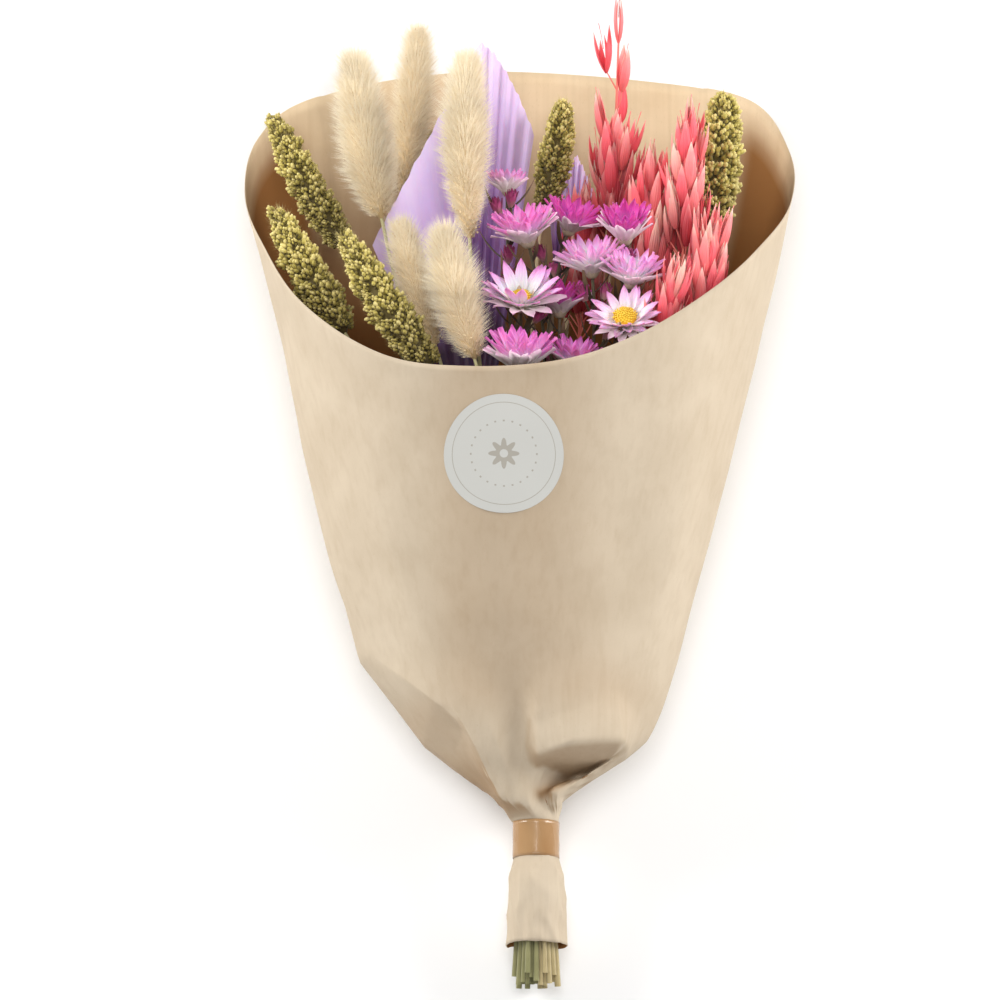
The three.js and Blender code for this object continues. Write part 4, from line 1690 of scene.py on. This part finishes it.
@dataclass
class OatSprig(Plant):
    """A dyed oat sprig: a stalk with papery spikelets on fine branches.

    spread is how far the branches stand out, and spikelets how many its solid has. crowding over 1
    sets them closer together low down, and between them stand more_spikelets times as many others.
    """

    spread: float
    spikelets: int
    _: KW_ONLY
    spikelet_length: float = 23.0
    crowding: float = 1.5
    more_spikelets: int = 3
    film: float = 0.007

    @property
    def filled_to(self) -> float:
        """The share of the stalk that is thick with spikelets: a long sprig is bare towards its tip."""
        return 0.93 if (self.tip - self.base).length < 100 else 0.45

    @property
    def top(self) -> Vector:
        """The end of the stalk, where the top spikelet begins."""
        return self.tip - self.direction * self.spikelet_length

    def spikelet(self, draws: Draws, open_by: float) -> Template:
        """Makes a spikelet 1 long that points along y: two outer husks, two inner ones and an awn.

        Args:
            draws: the source of small differences.
            open_by: how far the outer husks part, in radians.

        Returns:
            The template mesh.
        """
        shape = new_shape()
        outer = ((1.0, 0.25, open_by), (0.94, 0.23, -open_by))
        inner = ((0.8, 0.16, open_by * 0.3), (0.72, 0.13, -open_by * 0.5))
        for k, (length, width, lean) in enumerate(outer + inner):
            husk = husk_blade(length * draws.between(0.95, 1.05), width, 0.06, 0.03)
            turn = Matrix.Rotation(-lean, 3, "X")
            if lean < 0:
                turn = Matrix.Rotation(math.pi, 3, "Y") @ Matrix.Rotation(lean, 3, "X")
            twist = Matrix.Rotation(0.5 * k * draws.between(-0.5, 0.5), 3, "Y")
            turn_shape(husk, twist @ turn)
            add_shape(shape, husk)
        awn = [Vector((0, 0.5, 0)), Vector((0.01, 0.8, 0.01)), Vector((0.03, 1.04, 0.03))]
        add_shape(shape, closed_tube(awn, lambda share: self.film * (1.1 - share), sides=4))
        bmesh.ops.solidify(shape, geom=shape.faces[:], thickness=self.film)
        return as_template(shape)

    @staticmethod
    def branch(at: Spikelet) -> Shape:
        """Makes the fine stalk of a spikelet.

        Args:
            at: the spikelet's place.

        Returns:
            The bmesh.
        """
        aside = (at.neck - at.foot).cross(UP) * 0.03
        bend = curve_through((at.foot, at.foot.lerp(at.neck, 0.55) + aside, at.neck + at.pointing), 5)
        return closed_tube(bend, lambda share: lerp(0.4, 0.26, share), sides=5)

    def places(self) -> list[Spikelet]:
        """Places the spikelets.

        Returns:
            The place of each one, first those of the solid and then those between them.
        """
        draws = Draws(self.order + 61)
        along, length = self.direction, self.spikelet_length
        found = [Spikelet(self.top - along * 3, self.top, along, length, 0.0)]
        for i in range(self.spikelets - 1):
            share = (i / (self.spikelets - 1)) ** self.crowding
            turn = i * GOLDEN_ANGLE + self.order
            lean, size = draws.next(), draws.next()
            found.append(self.spot(share, turn, 1.0, 0.1 + 0.12 * lean, length * (0.85 + 0.15 * size)))
        extra = Draws(self.order + 301)
        others = self.more_spikelets * self.spikelets
        for i in range(others):
            share = self.filled_to * (i + 0.5) / others
            turn = i * GOLDEN_ANGLE + self.order + math.pi
            size = length * extra.between(0.78, 0.98)
            found.append(self.spot(share, turn, extra.between(0.3, 1.35), 0.16 * extra.next(), size))
        return found

    def spot(self, share: float, turn: float, wide: float, lean: float, length: float) -> Spikelet:
        """Gives the place of one spikelet.

        Args:
            share: the share of the stalk's length.
            turn: the way round it.
            wide: the share of the sprig's spread.
            lean: how much it points outwards.
            length: the spikelet's length.

        Returns:
            The place.
        """
        along = self.direction
        out = round_y(turn)
        foot = self.base.lerp(self.top, share * 0.9)
        neck = foot + along * 9 + out * (self.spread * wide * lerp(1, 0.75, share))
        return Spikelet(foot, neck, (along + out * lean).normalized(), length, turn)

    def build(self, bunch: Bunch) -> None:
        """Makes the sprig and its stem.

        Args:
            bunch: the tied stems.
        """
        draws = Draws(self.order + 161)
        shape = new_shape()
        templates = [self.spikelet(draws, open_by) for open_by in (0.03, 0.07, 0.12, 0.18)]
        for k, at in enumerate(self.places()):
            sway = Vector((draws.between(-0.06, 0.06), 0, draws.between(-0.06, 0.06)))
            spot = facing(at.neck, (at.pointing + sway).normalized(), round_y(at.turn))
            finish = 2 if k % 9 == 4 else k % 2
            stamp(shape, templates[k % 4], spot @ Matrix.Scale(at.length, 4), finish)
            add_shape(shape, self.branch(at), 3)
        stalk = [self.base - self.direction * 3, self.top]
        add_shape(shape, closed_tube(stalk, lambda share: lerp(0.8, 0.5, share), sides=7, rows=12), 3)
        add_shape(shape, bunch.stem(self.order), 4)
        discard(*templates)
        # painted shade low on the sprig
        self.paint_foot_shade(shape, 0.12, 0.5)
        finishes = [*self.finishes(), stem_finish(bunch, self.order)]
        finish_piece(f"oat_spray_{self.number}", shape, finishes, Slot.OAT, f"oat_sprig_{self.number}")

    @classmethod
    @lru_cache(maxsize=None)
    def finishes(cls) -> tuple[Material, ...]:
        """Makes the finishes once for all sprigs.

        Returns:
            The three husk finishes, which take painted shade low on the sprig, and the stalk finish.
        """
        husks = {
            "coral_husk": ((240, 92, 90), (255, 116, 120), (255, 150, 148), (255, 206, 192)),
            "red_husk": ((222, 62, 72), (250, 84, 98), (255, 112, 122), (255, 176, 166)),
            "blush_husk": ((248, 120, 114), (255, 152, 146), (255, 192, 176), (255, 226, 208)),
        }
        made = [
            PlantFinish(
                name, shades(*zip((0.0, 0.38, 0.76, 1.0), colours)), spread=0.16, cell_scale=100,
                rough=(0.45, 0.65), veins=6, glow=0.2, mottle=0.3,
                # the colour of the painted shade low on the sprig
                painted_shade=("foot", srgb(150, 24, 34)), painted_shade_by=0.75,
            ).build()
            for name, colours in husks.items()
        ]
        stalk = shades((0.0, (226, 116, 100)), (1.0, (240, 128, 118)))
        return (*made, PlantFinish("oat_stalk", stalk, cell_scale=120).build())


@dataclass(frozen=True)
class LeafHalf:
    """One side of a palm spear: how far it reaches out, where it is widest and how its edge bulges."""

    reach: float
    widest_at: float
    bulge: float


@dataclass
class PalmSpear(Plant):
    """A dyed palm leaf cut to a spear, with its pleats, on its leaf stalk.

    Its base is where the pleats meet the leaf stalk, and left and right are its two sides.
    """

    left: LeafHalf
    right: LeafHalf
    _: KW_ONLY
    pleats: int = 18
    pleat_depth: float = 1.1
    columns_each: int = 4
    rows: int = 44
    thick: float = 0.28

    def on_leaf(self, across: float, along: float) -> Vector:
        """Gives a point of the leaf.

        Args:
            across: from 0 on the left to 1 on the right.
            along: from 0 at the stalk to 1 at the cut edge.

        Returns:
            The point.
        """
        x = across * 2 - 1
        half = self.left if x < 0 else self.right
        spread = abs(x)
        reach = (self.tip - self.base).length
        direction = self.direction
        side = direction.cross(UP).normalized()
        open_yet = min(1.0, along * 2)
        zigzag = abs(((across * self.pleats + 0.5) % 2) - 1) * 2 - 1
        rounded = math.copysign(abs(zigzag) ** 0.8, zigzag)
        notch = 1.5 * (1 - abs(zigzag)) * smooth_step(0.85, 1.0, along)
        edge = reach * (1 - spread**half.bulge * (1 - half.widest_at)) - notch
        out = math.copysign(spread * lerp(3, half.reach, along**0.8), x)
        pleat = rounded * self.pleat_depth * open_yet * (1 - 0.4 * spread)
        ripple = 1.4 * noise.noise(Vector((across * 6, along * 2.5, self.number))) * open_yet
        lift = Vector((0, 0, pleat + ripple - 5 * spread * spread * along))
        return self.base + direction * (edge * along) + side * out + lift

    def build(self, bunch: Bunch) -> None:
        """Makes the leaf and its stalk.

        Args:
            bunch: the tied stems.
        """
        shape = mapped_grid(self.pleats * self.columns_each, self.rows, self.on_leaf)
        bmesh.ops.recalc_face_normals(shape, faces=shape.faces)
        bmesh.ops.solidify(shape, geom=shape.faces[:], thickness=self.thick)
        end = self.base + self.direction * 12
        add_shape(shape, bunch.stem(self.order, end, radius=1.05, taper=1.35), 1)
        finishes = [self.leaf_finish(), stem_finish(bunch, self.order)]
        finish_piece(f"palm_leaf_{self.number}", shape, finishes, Slot.PALM, f"palm_spear_{self.number}")

    @classmethod
    @lru_cache(maxsize=None)
    def leaf_finish(cls) -> Material:
        """Makes the leaf finish, once for both leaves.

        Returns:
            The material.
        """
        # Dark violet towards the leaf stalk is painted shade deep in the bouquet; the lilac beyond it is the
        # dye.
        lilac_with_shade = shades(
            (0.3, (74, 46, 82)), (0.52, (158, 116, 186)), (0.68, (208, 170, 234)), (1.0, (236, 210, 248))
        )
        return PlantFinish(
            "dyed_leaf", lilac_with_shade, 0.12, 60, rough=(0.38, 0.55), veins=54, vein_strength=0.12, glow=0.2
        ).build()


class Tint(Enum):
    """The dye of an everlasting flower, from the foot of a bract to its point."""

    PALE = ((0.0, (250, 246, 232)), (0.4, (250, 236, 244)), (0.7, (248, 186, 232)), (1.0, (232, 126, 204)))
    PINK = ((0.0, (248, 240, 226)), (0.35, (248, 214, 236)), (0.65, (244, 152, 218)), (1.0, (222, 92, 186)))
    MAGENTA = ((0.0, (244, 206, 232)), (0.3, (238, 138, 210)), (0.65, (228, 84, 188)), (1.0, (204, 48, 158)))
    WHITE = ((0.0, (250, 240, 234)), (0.4, (250, 224, 238)), (0.7, (246, 190, 228)), (1.0, (230, 136, 202)))


class FlowerPart(Enum):
    """The other parts of an everlasting flower, each with its colours from foot to end."""

    CUP = ((0.0, (172, 156, 116)), (1.0, (238, 222, 208)))
    SILVER = ((0.0, (244, 236, 224)), (0.6, (252, 238, 244)), (1.0, (250, 206, 232)))
    FLORETS = ((0.0, (214, 150, 26)), (0.6, (242, 196, 36)), (1.0, (250, 218, 70)))
    # The leaves and buds are real parts; their dark browns and maroons are partly their own colour and partly
    # painted shade among the stems under the flowers.
    LEAF = ((0.0, (66, 52, 38)), (0.6, (98, 80, 54)), (1.0, (134, 104, 84)))
    BUD = ((0.0, (190, 150, 140)), (0.5, (196, 90, 140)), (1.0, (150, 40, 100)))


@lru_cache(maxsize=None)
def dye_finish(tint: Tint) -> Material:
    """Makes the finish of the bracts, once for each dye.

    Args:
        tint: the dye.

    Returns:
        The material.
    """
    return PlantFinish(
        f"bract_{tint.name.lower()}", shades(*tint.value), spread=0.14, cell_scale=130,
        rough=(0.35, 0.55), veins=4, glow=0.3, mottle=0.15,
    ).build()


@lru_cache(maxsize=None)
def part_finish(part: FlowerPart) -> Material:
    """Makes the finish of another part of the flowers, once for all of them."""
    return PlantFinish(f"flower_{part.name.lower()}", shades(*part.value), spread=0.3, cell_scale=500).build()


@dataclass(frozen=True)
class BractRing:
    """A ring of bracts.

    length and width are shares of the flower's reach, lean a share of how far it opens, rise how high
    on the cup the ring sits, and curl how far its points bend back.
    """

    count: int
    length: float
    width: float
    lean: float
    rise: float
    curl: float


@dataclass
class Everlasting:
    """A dyed everlasting flower: rings of papery bracts round a disc of florets, on its stem.

    base is where the flower meets its stem and direction the way it faces. reach is a bract's length
    from the flower's middle, open_by how far the outer bracts open in degrees, and disc the disc's
    radius as a share of the reach. A flower with a wide disc shows its inmost ring no longer.
    """

    number: int
    order: int
    base: Vector
    direction: Vector
    reach: float
    open_by: float
    tint: Tint
    disc: float
    _: KW_ONLY
    rings: tuple[BractRing, ...] = (
        BractRing(14, 1.02, 0.36, 1.08, 0.4, 0.1),
        BractRing(14, 1.08, 0.36, 0.88, 0.55, 0.06),
        BractRing(12, 1.02, 0.34, 0.68, 0.7, 0.02),
        BractRing(10, 0.94, 0.32, 0.48, 0.84, -0.04),
    )
    wide_disc: float = 0.22
    bract_thick: float = 0.12
    cup_height: float = 0.36
    scales: int = 16
    florets: int = 90
    floret_length: float = 2.2
    leaves: int = 22
    leaf_gap: float = 5.5
    buds: int = 3
    bud_bracts: int = 14

    def __post_init__(self) -> None:
        """Turns the place and the direction into vectors."""
        self.base, self.direction = Vector(self.base), Vector(self.direction).normalized()

    def bract(
        self, draws: Draws, length: float, width: float, curl: float, faces: tuple[int, int] = (4, 6)
    ) -> Template:
        """Makes a bract that stands on the origin, points along y and cups towards z.

        Args:
            draws: the source of small differences.
            length: from foot to point.
            width: at its widest.
            curl: how far its point bends back, negative to bend in.
            faces: the faces across and along.

        Returns:
            The template mesh.
        """
        crease = draws.between(-0.12, 0.12)

        def place(across: float, along: float) -> Vector:
            """Gives a point of the bract.

            Args:
                across: the share of the way across.
                along: the share of the way to the point.

            Returns:
                The point.
            """
            half = width / 2 * (math.sin(math.pi * (0.1 + 0.9 * along)) ** 0.7 + 0.02)
            side = across * 2 - 1
            cup = 0.28 * width * side * side * (1 - 0.6 * along)
            back = -curl * length * along * along
            wave = crease * width * math.sin(3 * along + 2 * side)
            return Vector((half * side, length * along, cup + back + wave))

        shape = mapped_grid(*faces, place)
        bmesh.ops.solidify(shape, geom=shape.faces[:], thickness=self.bract_thick)
        return as_template(shape)

    @staticmethod
    def leaning(foot: Vector, angle: float, lean: float) -> Matrix:
        """Gives the frame of a bract that leans outwards.

        Args:
            foot: where it stands.
            angle: the way round the flower.
            lean: how far it leans out, in radians.

        Returns:
            A matrix whose y points along the bract and z into the flower.
        """
        away = round_y(angle)
        direction = away * math.sin(lean) + ALONG * math.cos(lean)
        inward = ALONG * math.sin(lean) - away * math.cos(lean)
        return facing(foot, direction, inward)

    def ring_spot(self, angle: float, out: float, height: float, lean: float) -> Matrix:
        """Gives the frame of a bract on the flower, whose foot is so far out and so high."""
        foot = round_y(angle) * out + Vector((0, height, 0))
        return facing(self.base, self.direction) @ self.leaning(foot, angle, lean)

    def build(self, bunch: Bunch) -> None:
        """Makes the bracts, the disc and the stem.

        Args:
            bunch: the tied stems.
        """
        self.build_bracts()
        self.build_disc()
        self.build_stem(bunch)

    def cup_radius(self, share: float) -> float:
        """Gives the cup's radius at a share of its height."""
        return self.reach * max(0.3, self.disc + 0.02) * lerp(0.35, 1.0, share**0.7)

    def build_bracts(self) -> None:
        """Makes the cup, the rings of bracts and the small scale leaves under them."""
        draws = Draws(self.order + 191)
        shape = new_shape()
        high = self.reach * self.cup_height
        flower = facing(self.base, self.direction)
        line = [flower @ Vector((0, high * k / 6, 0)) for k in range(7)]
        add_shape(shape, closed_tube(line, self.cup_radius, sides=14), 1)
        opening = math.radians(self.open_by)
        shown = self.rings[: 3 if self.disc > self.wide_disc else 4]
        for level, ring in enumerate(shown):
            length, width = self.reach * ring.length * 0.9, self.reach * ring.width * 0.86
            templates = [self.bract(draws, length, width, ring.curl) for _ in range(3)]
            finish = 2 if level == 0 else 0
            out = self.cup_radius(ring.rise) * 0.86
            for k in range(ring.count):
                angle = (k + 0.5 * (level % 2)) * FULL_TURN / ring.count + draws.between(-0.1, 0.1)
                lean = opening * ring.lean + draws.between(-0.12, 0.12)
                spot = self.ring_spot(angle, out, high * ring.rise, lean)
                stamp(shape, templates[k % 3], spot @ Matrix.Scale(draws.between(0.88, 1.06), 4), finish)
            discard(*templates)
        scale = self.bract(draws, self.reach * 0.34, self.reach * 0.16, -0.05, faces=(2, 4))
        for k in range(self.scales):
            out = self.cup_radius(k / 22) * 0.92
            stamp(shape, scale, self.ring_spot(k * GOLDEN_ANGLE, out, high * k / 26, opening * 0.35), 1)
        discard(scale)
        node = f"everlasting_{self.number}_bracts"
        finishes = [dye_finish(self.tint), part_finish(FlowerPart.CUP), part_finish(FlowerPart.SILVER)]
        finish_piece(f"flower_bracts_{self.number}", shape, finishes, Slot.BRACT, node)

    def build_disc(self) -> None:
        """Makes the dome of florets."""
        draws = Draws(self.order + 221)
        shape = new_shape()
        radius = self.reach * self.disc
        seat = facing(self.base + self.direction * (self.reach * self.cup_height + 0.35), self.direction)

        def dome(share: float) -> float:
            """Gives the dome's radius at a share of its height."""
            return radius * 0.96 * math.sqrt(max(1 - 0.9 * share * share, 0.02))

        line = [seat @ Vector((0, radius * 0.55 * k / 6, 0)) for k in range(7)]
        add_shape(shape, closed_tube(line, dome, sides=16), 0)
        floret = new_shape()
        cup = {"radius1": 0.5, "radius2": 0.9, "depth": self.floret_length}
        bmesh.ops.create_cone(floret, segments=5, cap_ends=True, calc_uvs=True, **cup)
        turn_shape(floret, Z_TO_Y)
        set_along(floret, lambda point: point.y / self.floret_length + 0.5)
        template = as_template(floret)
        for k in range(self.florets):
            out = radius * 0.95 * math.sqrt((k + 0.5) / self.florets)
            away = round_y(k * GOLDEN_ANGLE)
            height = radius * 0.62 * math.sqrt(max(1 - 0.9 * (out / radius) ** 2, 0.05))
            direction = (away * (out / radius) * 0.8 + ALONG).normalized()
            size = radius * 0.085 * draws.between(0.8, 1.25)
            spot = seat @ facing(away * out + Vector((0, height, 0)), direction)
            stamp(shape, template, spot @ Matrix.Scale(size, 4), 0)
        discard(template)
        node = f"everlasting_{self.number}_disc"
        finishes = [part_finish(FlowerPart.FLORETS)]
        finish_piece(f"flower_disc_{self.number}", shape, finishes, Slot.FLORET, node)

    def build_stem(self, bunch: Bunch) -> None:
        """Makes the stem with its narrow leaves and a few buds on short branches.

        Args:
            bunch: the tied stems.
        """
        draws = Draws(self.order + 251)
        shape = bunch.stem(self.order, radius=bunch.stem_radius * 0.9)
        path = Path(bunch.line(self.order))
        leaf = husk_blade(17, 2.6, 0.5, 1.2, faces=(2, 6))
        bmesh.ops.solidify(leaf, geom=leaf.faces[:], thickness=0.2)
        template = as_template(leaf)
        for k in range(self.leaves):
            share = 1 - (6 + self.leaf_gap * k) / path.length
            angle = k * GOLDEN_ANGLE + self.order
            spot = outward_frame(path, share, angle, 0.5, draws.between(0.85, 1.25))
            stamp(shape, template, spot @ Matrix.Scale(draws.between(0.75, 1.15), 4), 1)
        discard(template)
        for _ in range(self.buds):
            self.add_bud(shape, path, draws)
        # painted shade on the stem up among the flowers
        near_head = shape.verts.layers.float.new("near_head")
        for vert in shape.verts:
            vert[near_head] = smooth_step(-30, 40, vert.co.y)
        node = f"everlasting_{self.number}_stem"
        finishes = [stem_finish(bunch, self.order), part_finish(FlowerPart.LEAF), part_finish(FlowerPart.BUD)]
        finish_piece(f"flower_stem_{self.number}", shape, finishes, Slot.STEM, node)

    def add_bud(self, shape: Shape, path: Path, draws: Draws) -> None:
        """Adds a closed bud on a short branch near the flower.

        Args:
            shape: the stem's bmesh, which grows.
            path: the stem's middle line.
            draws: the source of small differences.
        """
        share = 1 - draws.between(14, 44) / path.length
        fork = outward_frame(path, share, draws.between(0, 6.28), 0.4, draws.between(0.8, 1.2))
        branch = [fork @ Vector(point) for point in ((0, 0, 0), (0.2, 6, 0.6), (0, 12, 0.4))]
        add_shape(shape, closed_tube(branch, lambda share: lerp(0.6, 0.45, share), sides=6), 0)
        bract = self.bract(draws, draws.between(5.5, 8.5), 2.6, -0.08, faces=(2, 4))
        for k in range(self.bud_bracts):
            share = k / self.bud_bracts
            angle = k * GOLDEN_ANGLE
            foot = round_y(angle) * lerp(1.0, 0.4, share) + Vector((0, 11.2 + 0.12 * k, 0.4))
            stamp(shape, bract, fork @ self.leaning(foot, angle, lerp(0.42, 0.1, share)), 2)
        discard(bract)


@dataclass(frozen=True)
class Lamp:
    """A soft square light: its place and size in metres, its power in watts and its colour."""

    name: str
    at: tuple[float, float, float]
    size: float
    power: float
    colour: Colour


@dataclass
class Studio:
    """The pale floor, the soft lights and the camera that looks down on the bouquet.

    target is what the camera and the lights look at, elevation the camera's height in degrees,
    distance its distance in metres and lens its focal length in millimetres.
    """

    target: Vector = field(default_factory=lambda: Vector((-8.6, -11.2, 45)) * MM)
    elevation: float = 75
    distance: float = 1.796
    lens: float = 150
    room_light: float = 0.34
    floor_half: float = 6
    lamps: tuple[Lamp, ...] = (
        Lamp("left_window", (-1.15, 0.6, 0.55), 0.7, 18, (1.0, 0.985, 0.96)),
        Lamp("right_window", (1.2, 0.4, 0.5), 0.7, 16, (1.0, 0.985, 0.97)),
        Lamp("top_sky", (0.0, 0.0, 1.7), 0.8, 11, (1.0, 0.99, 0.985)),
        Lamp("front_fill", (0.0, -1.1, 0.9), 0.9, 3.5, (1.0, 0.99, 0.985)),
    )

    def build(self) -> None:
        """Makes the floor, lights and camera."""
        self.floor()
        for lamp in self.lamps:
            self.light(lamp)
        world = bpy.data.worlds.new("soft_room")
        world.use_nodes = True
        light = world.node_tree.nodes["Background"].inputs
        light["Color"].default_value = (1, 1, 1, 1)
        light["Strength"].default_value = self.room_light
        bpy.context.scene.world = world
        bpy.context.scene.view_settings.view_transform = "Standard"
        self.camera()

    def floor(self) -> None:
        """Makes the floor."""
        shape = bmesh.new()
        bmesh.ops.create_grid(shape, x_segments=2, y_segments=2, size=self.floor_half)
        mesh = bpy.data.meshes.new("floor")
        shape.to_mesh(mesh)
        shape.free()
        floor = bpy.data.objects.new("floor", mesh)
        shader = Shader("pale_floor")
        tone = shader.noise(shader.place(), 3, 2)
        shader.colour(shader.ramp(tone, ((0.0, (0.86, 0.86, 0.86)), (1.0, (0.9, 0.9, 0.9)))))
        shader.steady(roughness=0.9, specular_ior_level=0.1)
        mesh.materials.append(shader.material)
        bpy.context.scene.collection.objects.link(floor)

    def light(self, lamp: Lamp) -> None:
        """Makes a light that faces the bouquet.

        Args:
            lamp: its sizes.
        """
        area = bpy.data.lights.new(lamp.name, "AREA")
        area.size = lamp.size
        area.energy = lamp.power
        area.color = lamp.colour
        light = bpy.data.objects.new(lamp.name, area)
        light.location = lamp.at
        light.rotation_euler = (self.target - Vector(lamp.at)).to_track_quat("-Z", "Y").to_euler()
        bpy.context.scene.collection.objects.link(light)

    def camera(self) -> None:
        """Makes the camera."""
        lens = bpy.data.cameras.new("camera")
        lens.lens = self.lens
        camera = bpy.data.objects.new("camera", lens)
        rise = math.radians(self.elevation)
        away = Vector((0, -math.cos(rise), math.sin(rise)))
        camera.location = self.target + away * self.distance
        camera.rotation_euler = (-away).to_track_quat("-Z", "Y").to_euler()
        bpy.context.scene.collection.objects.link(camera)
        bpy.context.scene.camera = camera


FOXTAILS = (
    ((-77, 104, 46.5), (-109.5, 166.5, 36), 7),
    ((-75, 55, 74), (-106, 113, 66), 8.2),
    ((-38, 33, 94), (-75, 93, 90), 8.2),
    ((11, 125, 34), (19.5, 175, 33), 7),
    ((79, 103, 50), (90.5, 172, 50), 10.5),
    ((-30, 118, 12), (-38, 168, 11), 5.5),
)
HARES_TAILS = (
    ((-60, 112, 58), (-73, 190, 52), 13.5, 0.75),
    ((-53, 137, 15), (-45.5, 217.5, 18), 10, 0.9),
    ((-21.5, 95, 78), (-22.5, 184, 68), 12, 1.0),
    ((-19, 36, 97), (-33, 95, 93), 12, 0.85),
    ((-36, 50, 70), (-52, 109, 64), 10, 0.9),
)
OAT_SPRIGS = (
    ((40, 96, 48), (44.5, 217.5, 58), 7, 12),
    ((26, 62, 39.5), (29, 140, 37), 6, 9),
    ((55, 72, 61), (58, 148, 59), 6, 10),
    ((70, 84, 72), (75, 166, 68), 6, 11),
    ((76, 48, 82), (84, 112, 80), 6, 9),
    ((59, 34, 90), (66, 82, 102), 4, 6),
)
PALM_SPEARS = (
    ((-20, 16, 36), (-18, 206, 29), LeafHalf(46, 0.5, 1.0), LeafHalf(25, 0.78, 1.6)),
    ((21, 84, 19), (25.5, 156, 18), LeafHalf(11, 0.7, 1.2), LeafHalf(11, 0.7, 1.2)),
)
EVERLASTINGS = (
    ((-5.5, 121, 62), (0, 1, 0.3), 11, 42, Tint.PALE, 0.2),
    ((4, 93, 76), (-0.25, 0.8, 0.5), 17, 48, Tint.PINK, 0.2),
    ((20.5, 103, 62), (0.25, 0.8, 0.4), 15, 50, Tint.MAGENTA, 0.2),
    ((0.3, 61, 86), (0, 0.7, 0.75), 18, 58, Tint.PALE, 0.24),
    ((0, 28.5, 99), (0.05, 0.9, 0.4), 18, 46, Tint.PINK, 0.2),
    ((45, 92, 82.5), (0, 0.75, 0.6), 16, 34, Tint.MAGENTA, 0.2),
    ((31, 77, 82.5), (-0.1, 0.85, 0.45), 16, 50, Tint.PALE, 0.2),
    ((47, 70, 89.5), (0.1, 0.8, 0.5), 15, 50, Tint.PALE, 0.2),
    ((44.5, 50.5, 96), (-0.05, 0.5, 0.8), 14.5, 68, Tint.WHITE, 0.36),
    ((17, 61.5, 75), (0, 0.9, 0.35), 15, 48, Tint.MAGENTA, 0.2),
    ((22, 32, 91), (0.15, 0.85, 0.45), 14, 50, Tint.PINK, 0.2),
)


def plants() -> list[Plant | Everlasting]:
    """Places every plant of the bouquet.

    Returns:
        The plants, in the order of the solids.
    """
    found: list[Plant | Everlasting] = []
    kinds = (Foxtail, HaresTail, OatSprig, PalmSpear, Everlasting)
    tables = (FOXTAILS, HARES_TAILS, OAT_SPRIGS, PALM_SPEARS, EVERLASTINGS)
    for kind, table in zip(kinds, tables):
        for number, values in enumerate(table, start=1):
            found.append(kind(number, len(found), *values))
    return found


def main() -> None:
    """Builds the bouquet and the studio, and logs each piece's face count."""
    logging.basicConfig(level=logging.INFO, format="%(message)s")
    Studio().build()
    bunch = Bunch()
    bouquet = plants()
    bunch.seat_stems(bouquet)
    wrap = KraftWrap(bunch).build()
    RoundLabel(wrap).build()
    NeckTape(bunch).build()
    StemTie(bunch).build()
    for plant in bouquet:
        plant.build(bunch)


if __name__ == "__main__":
    main()
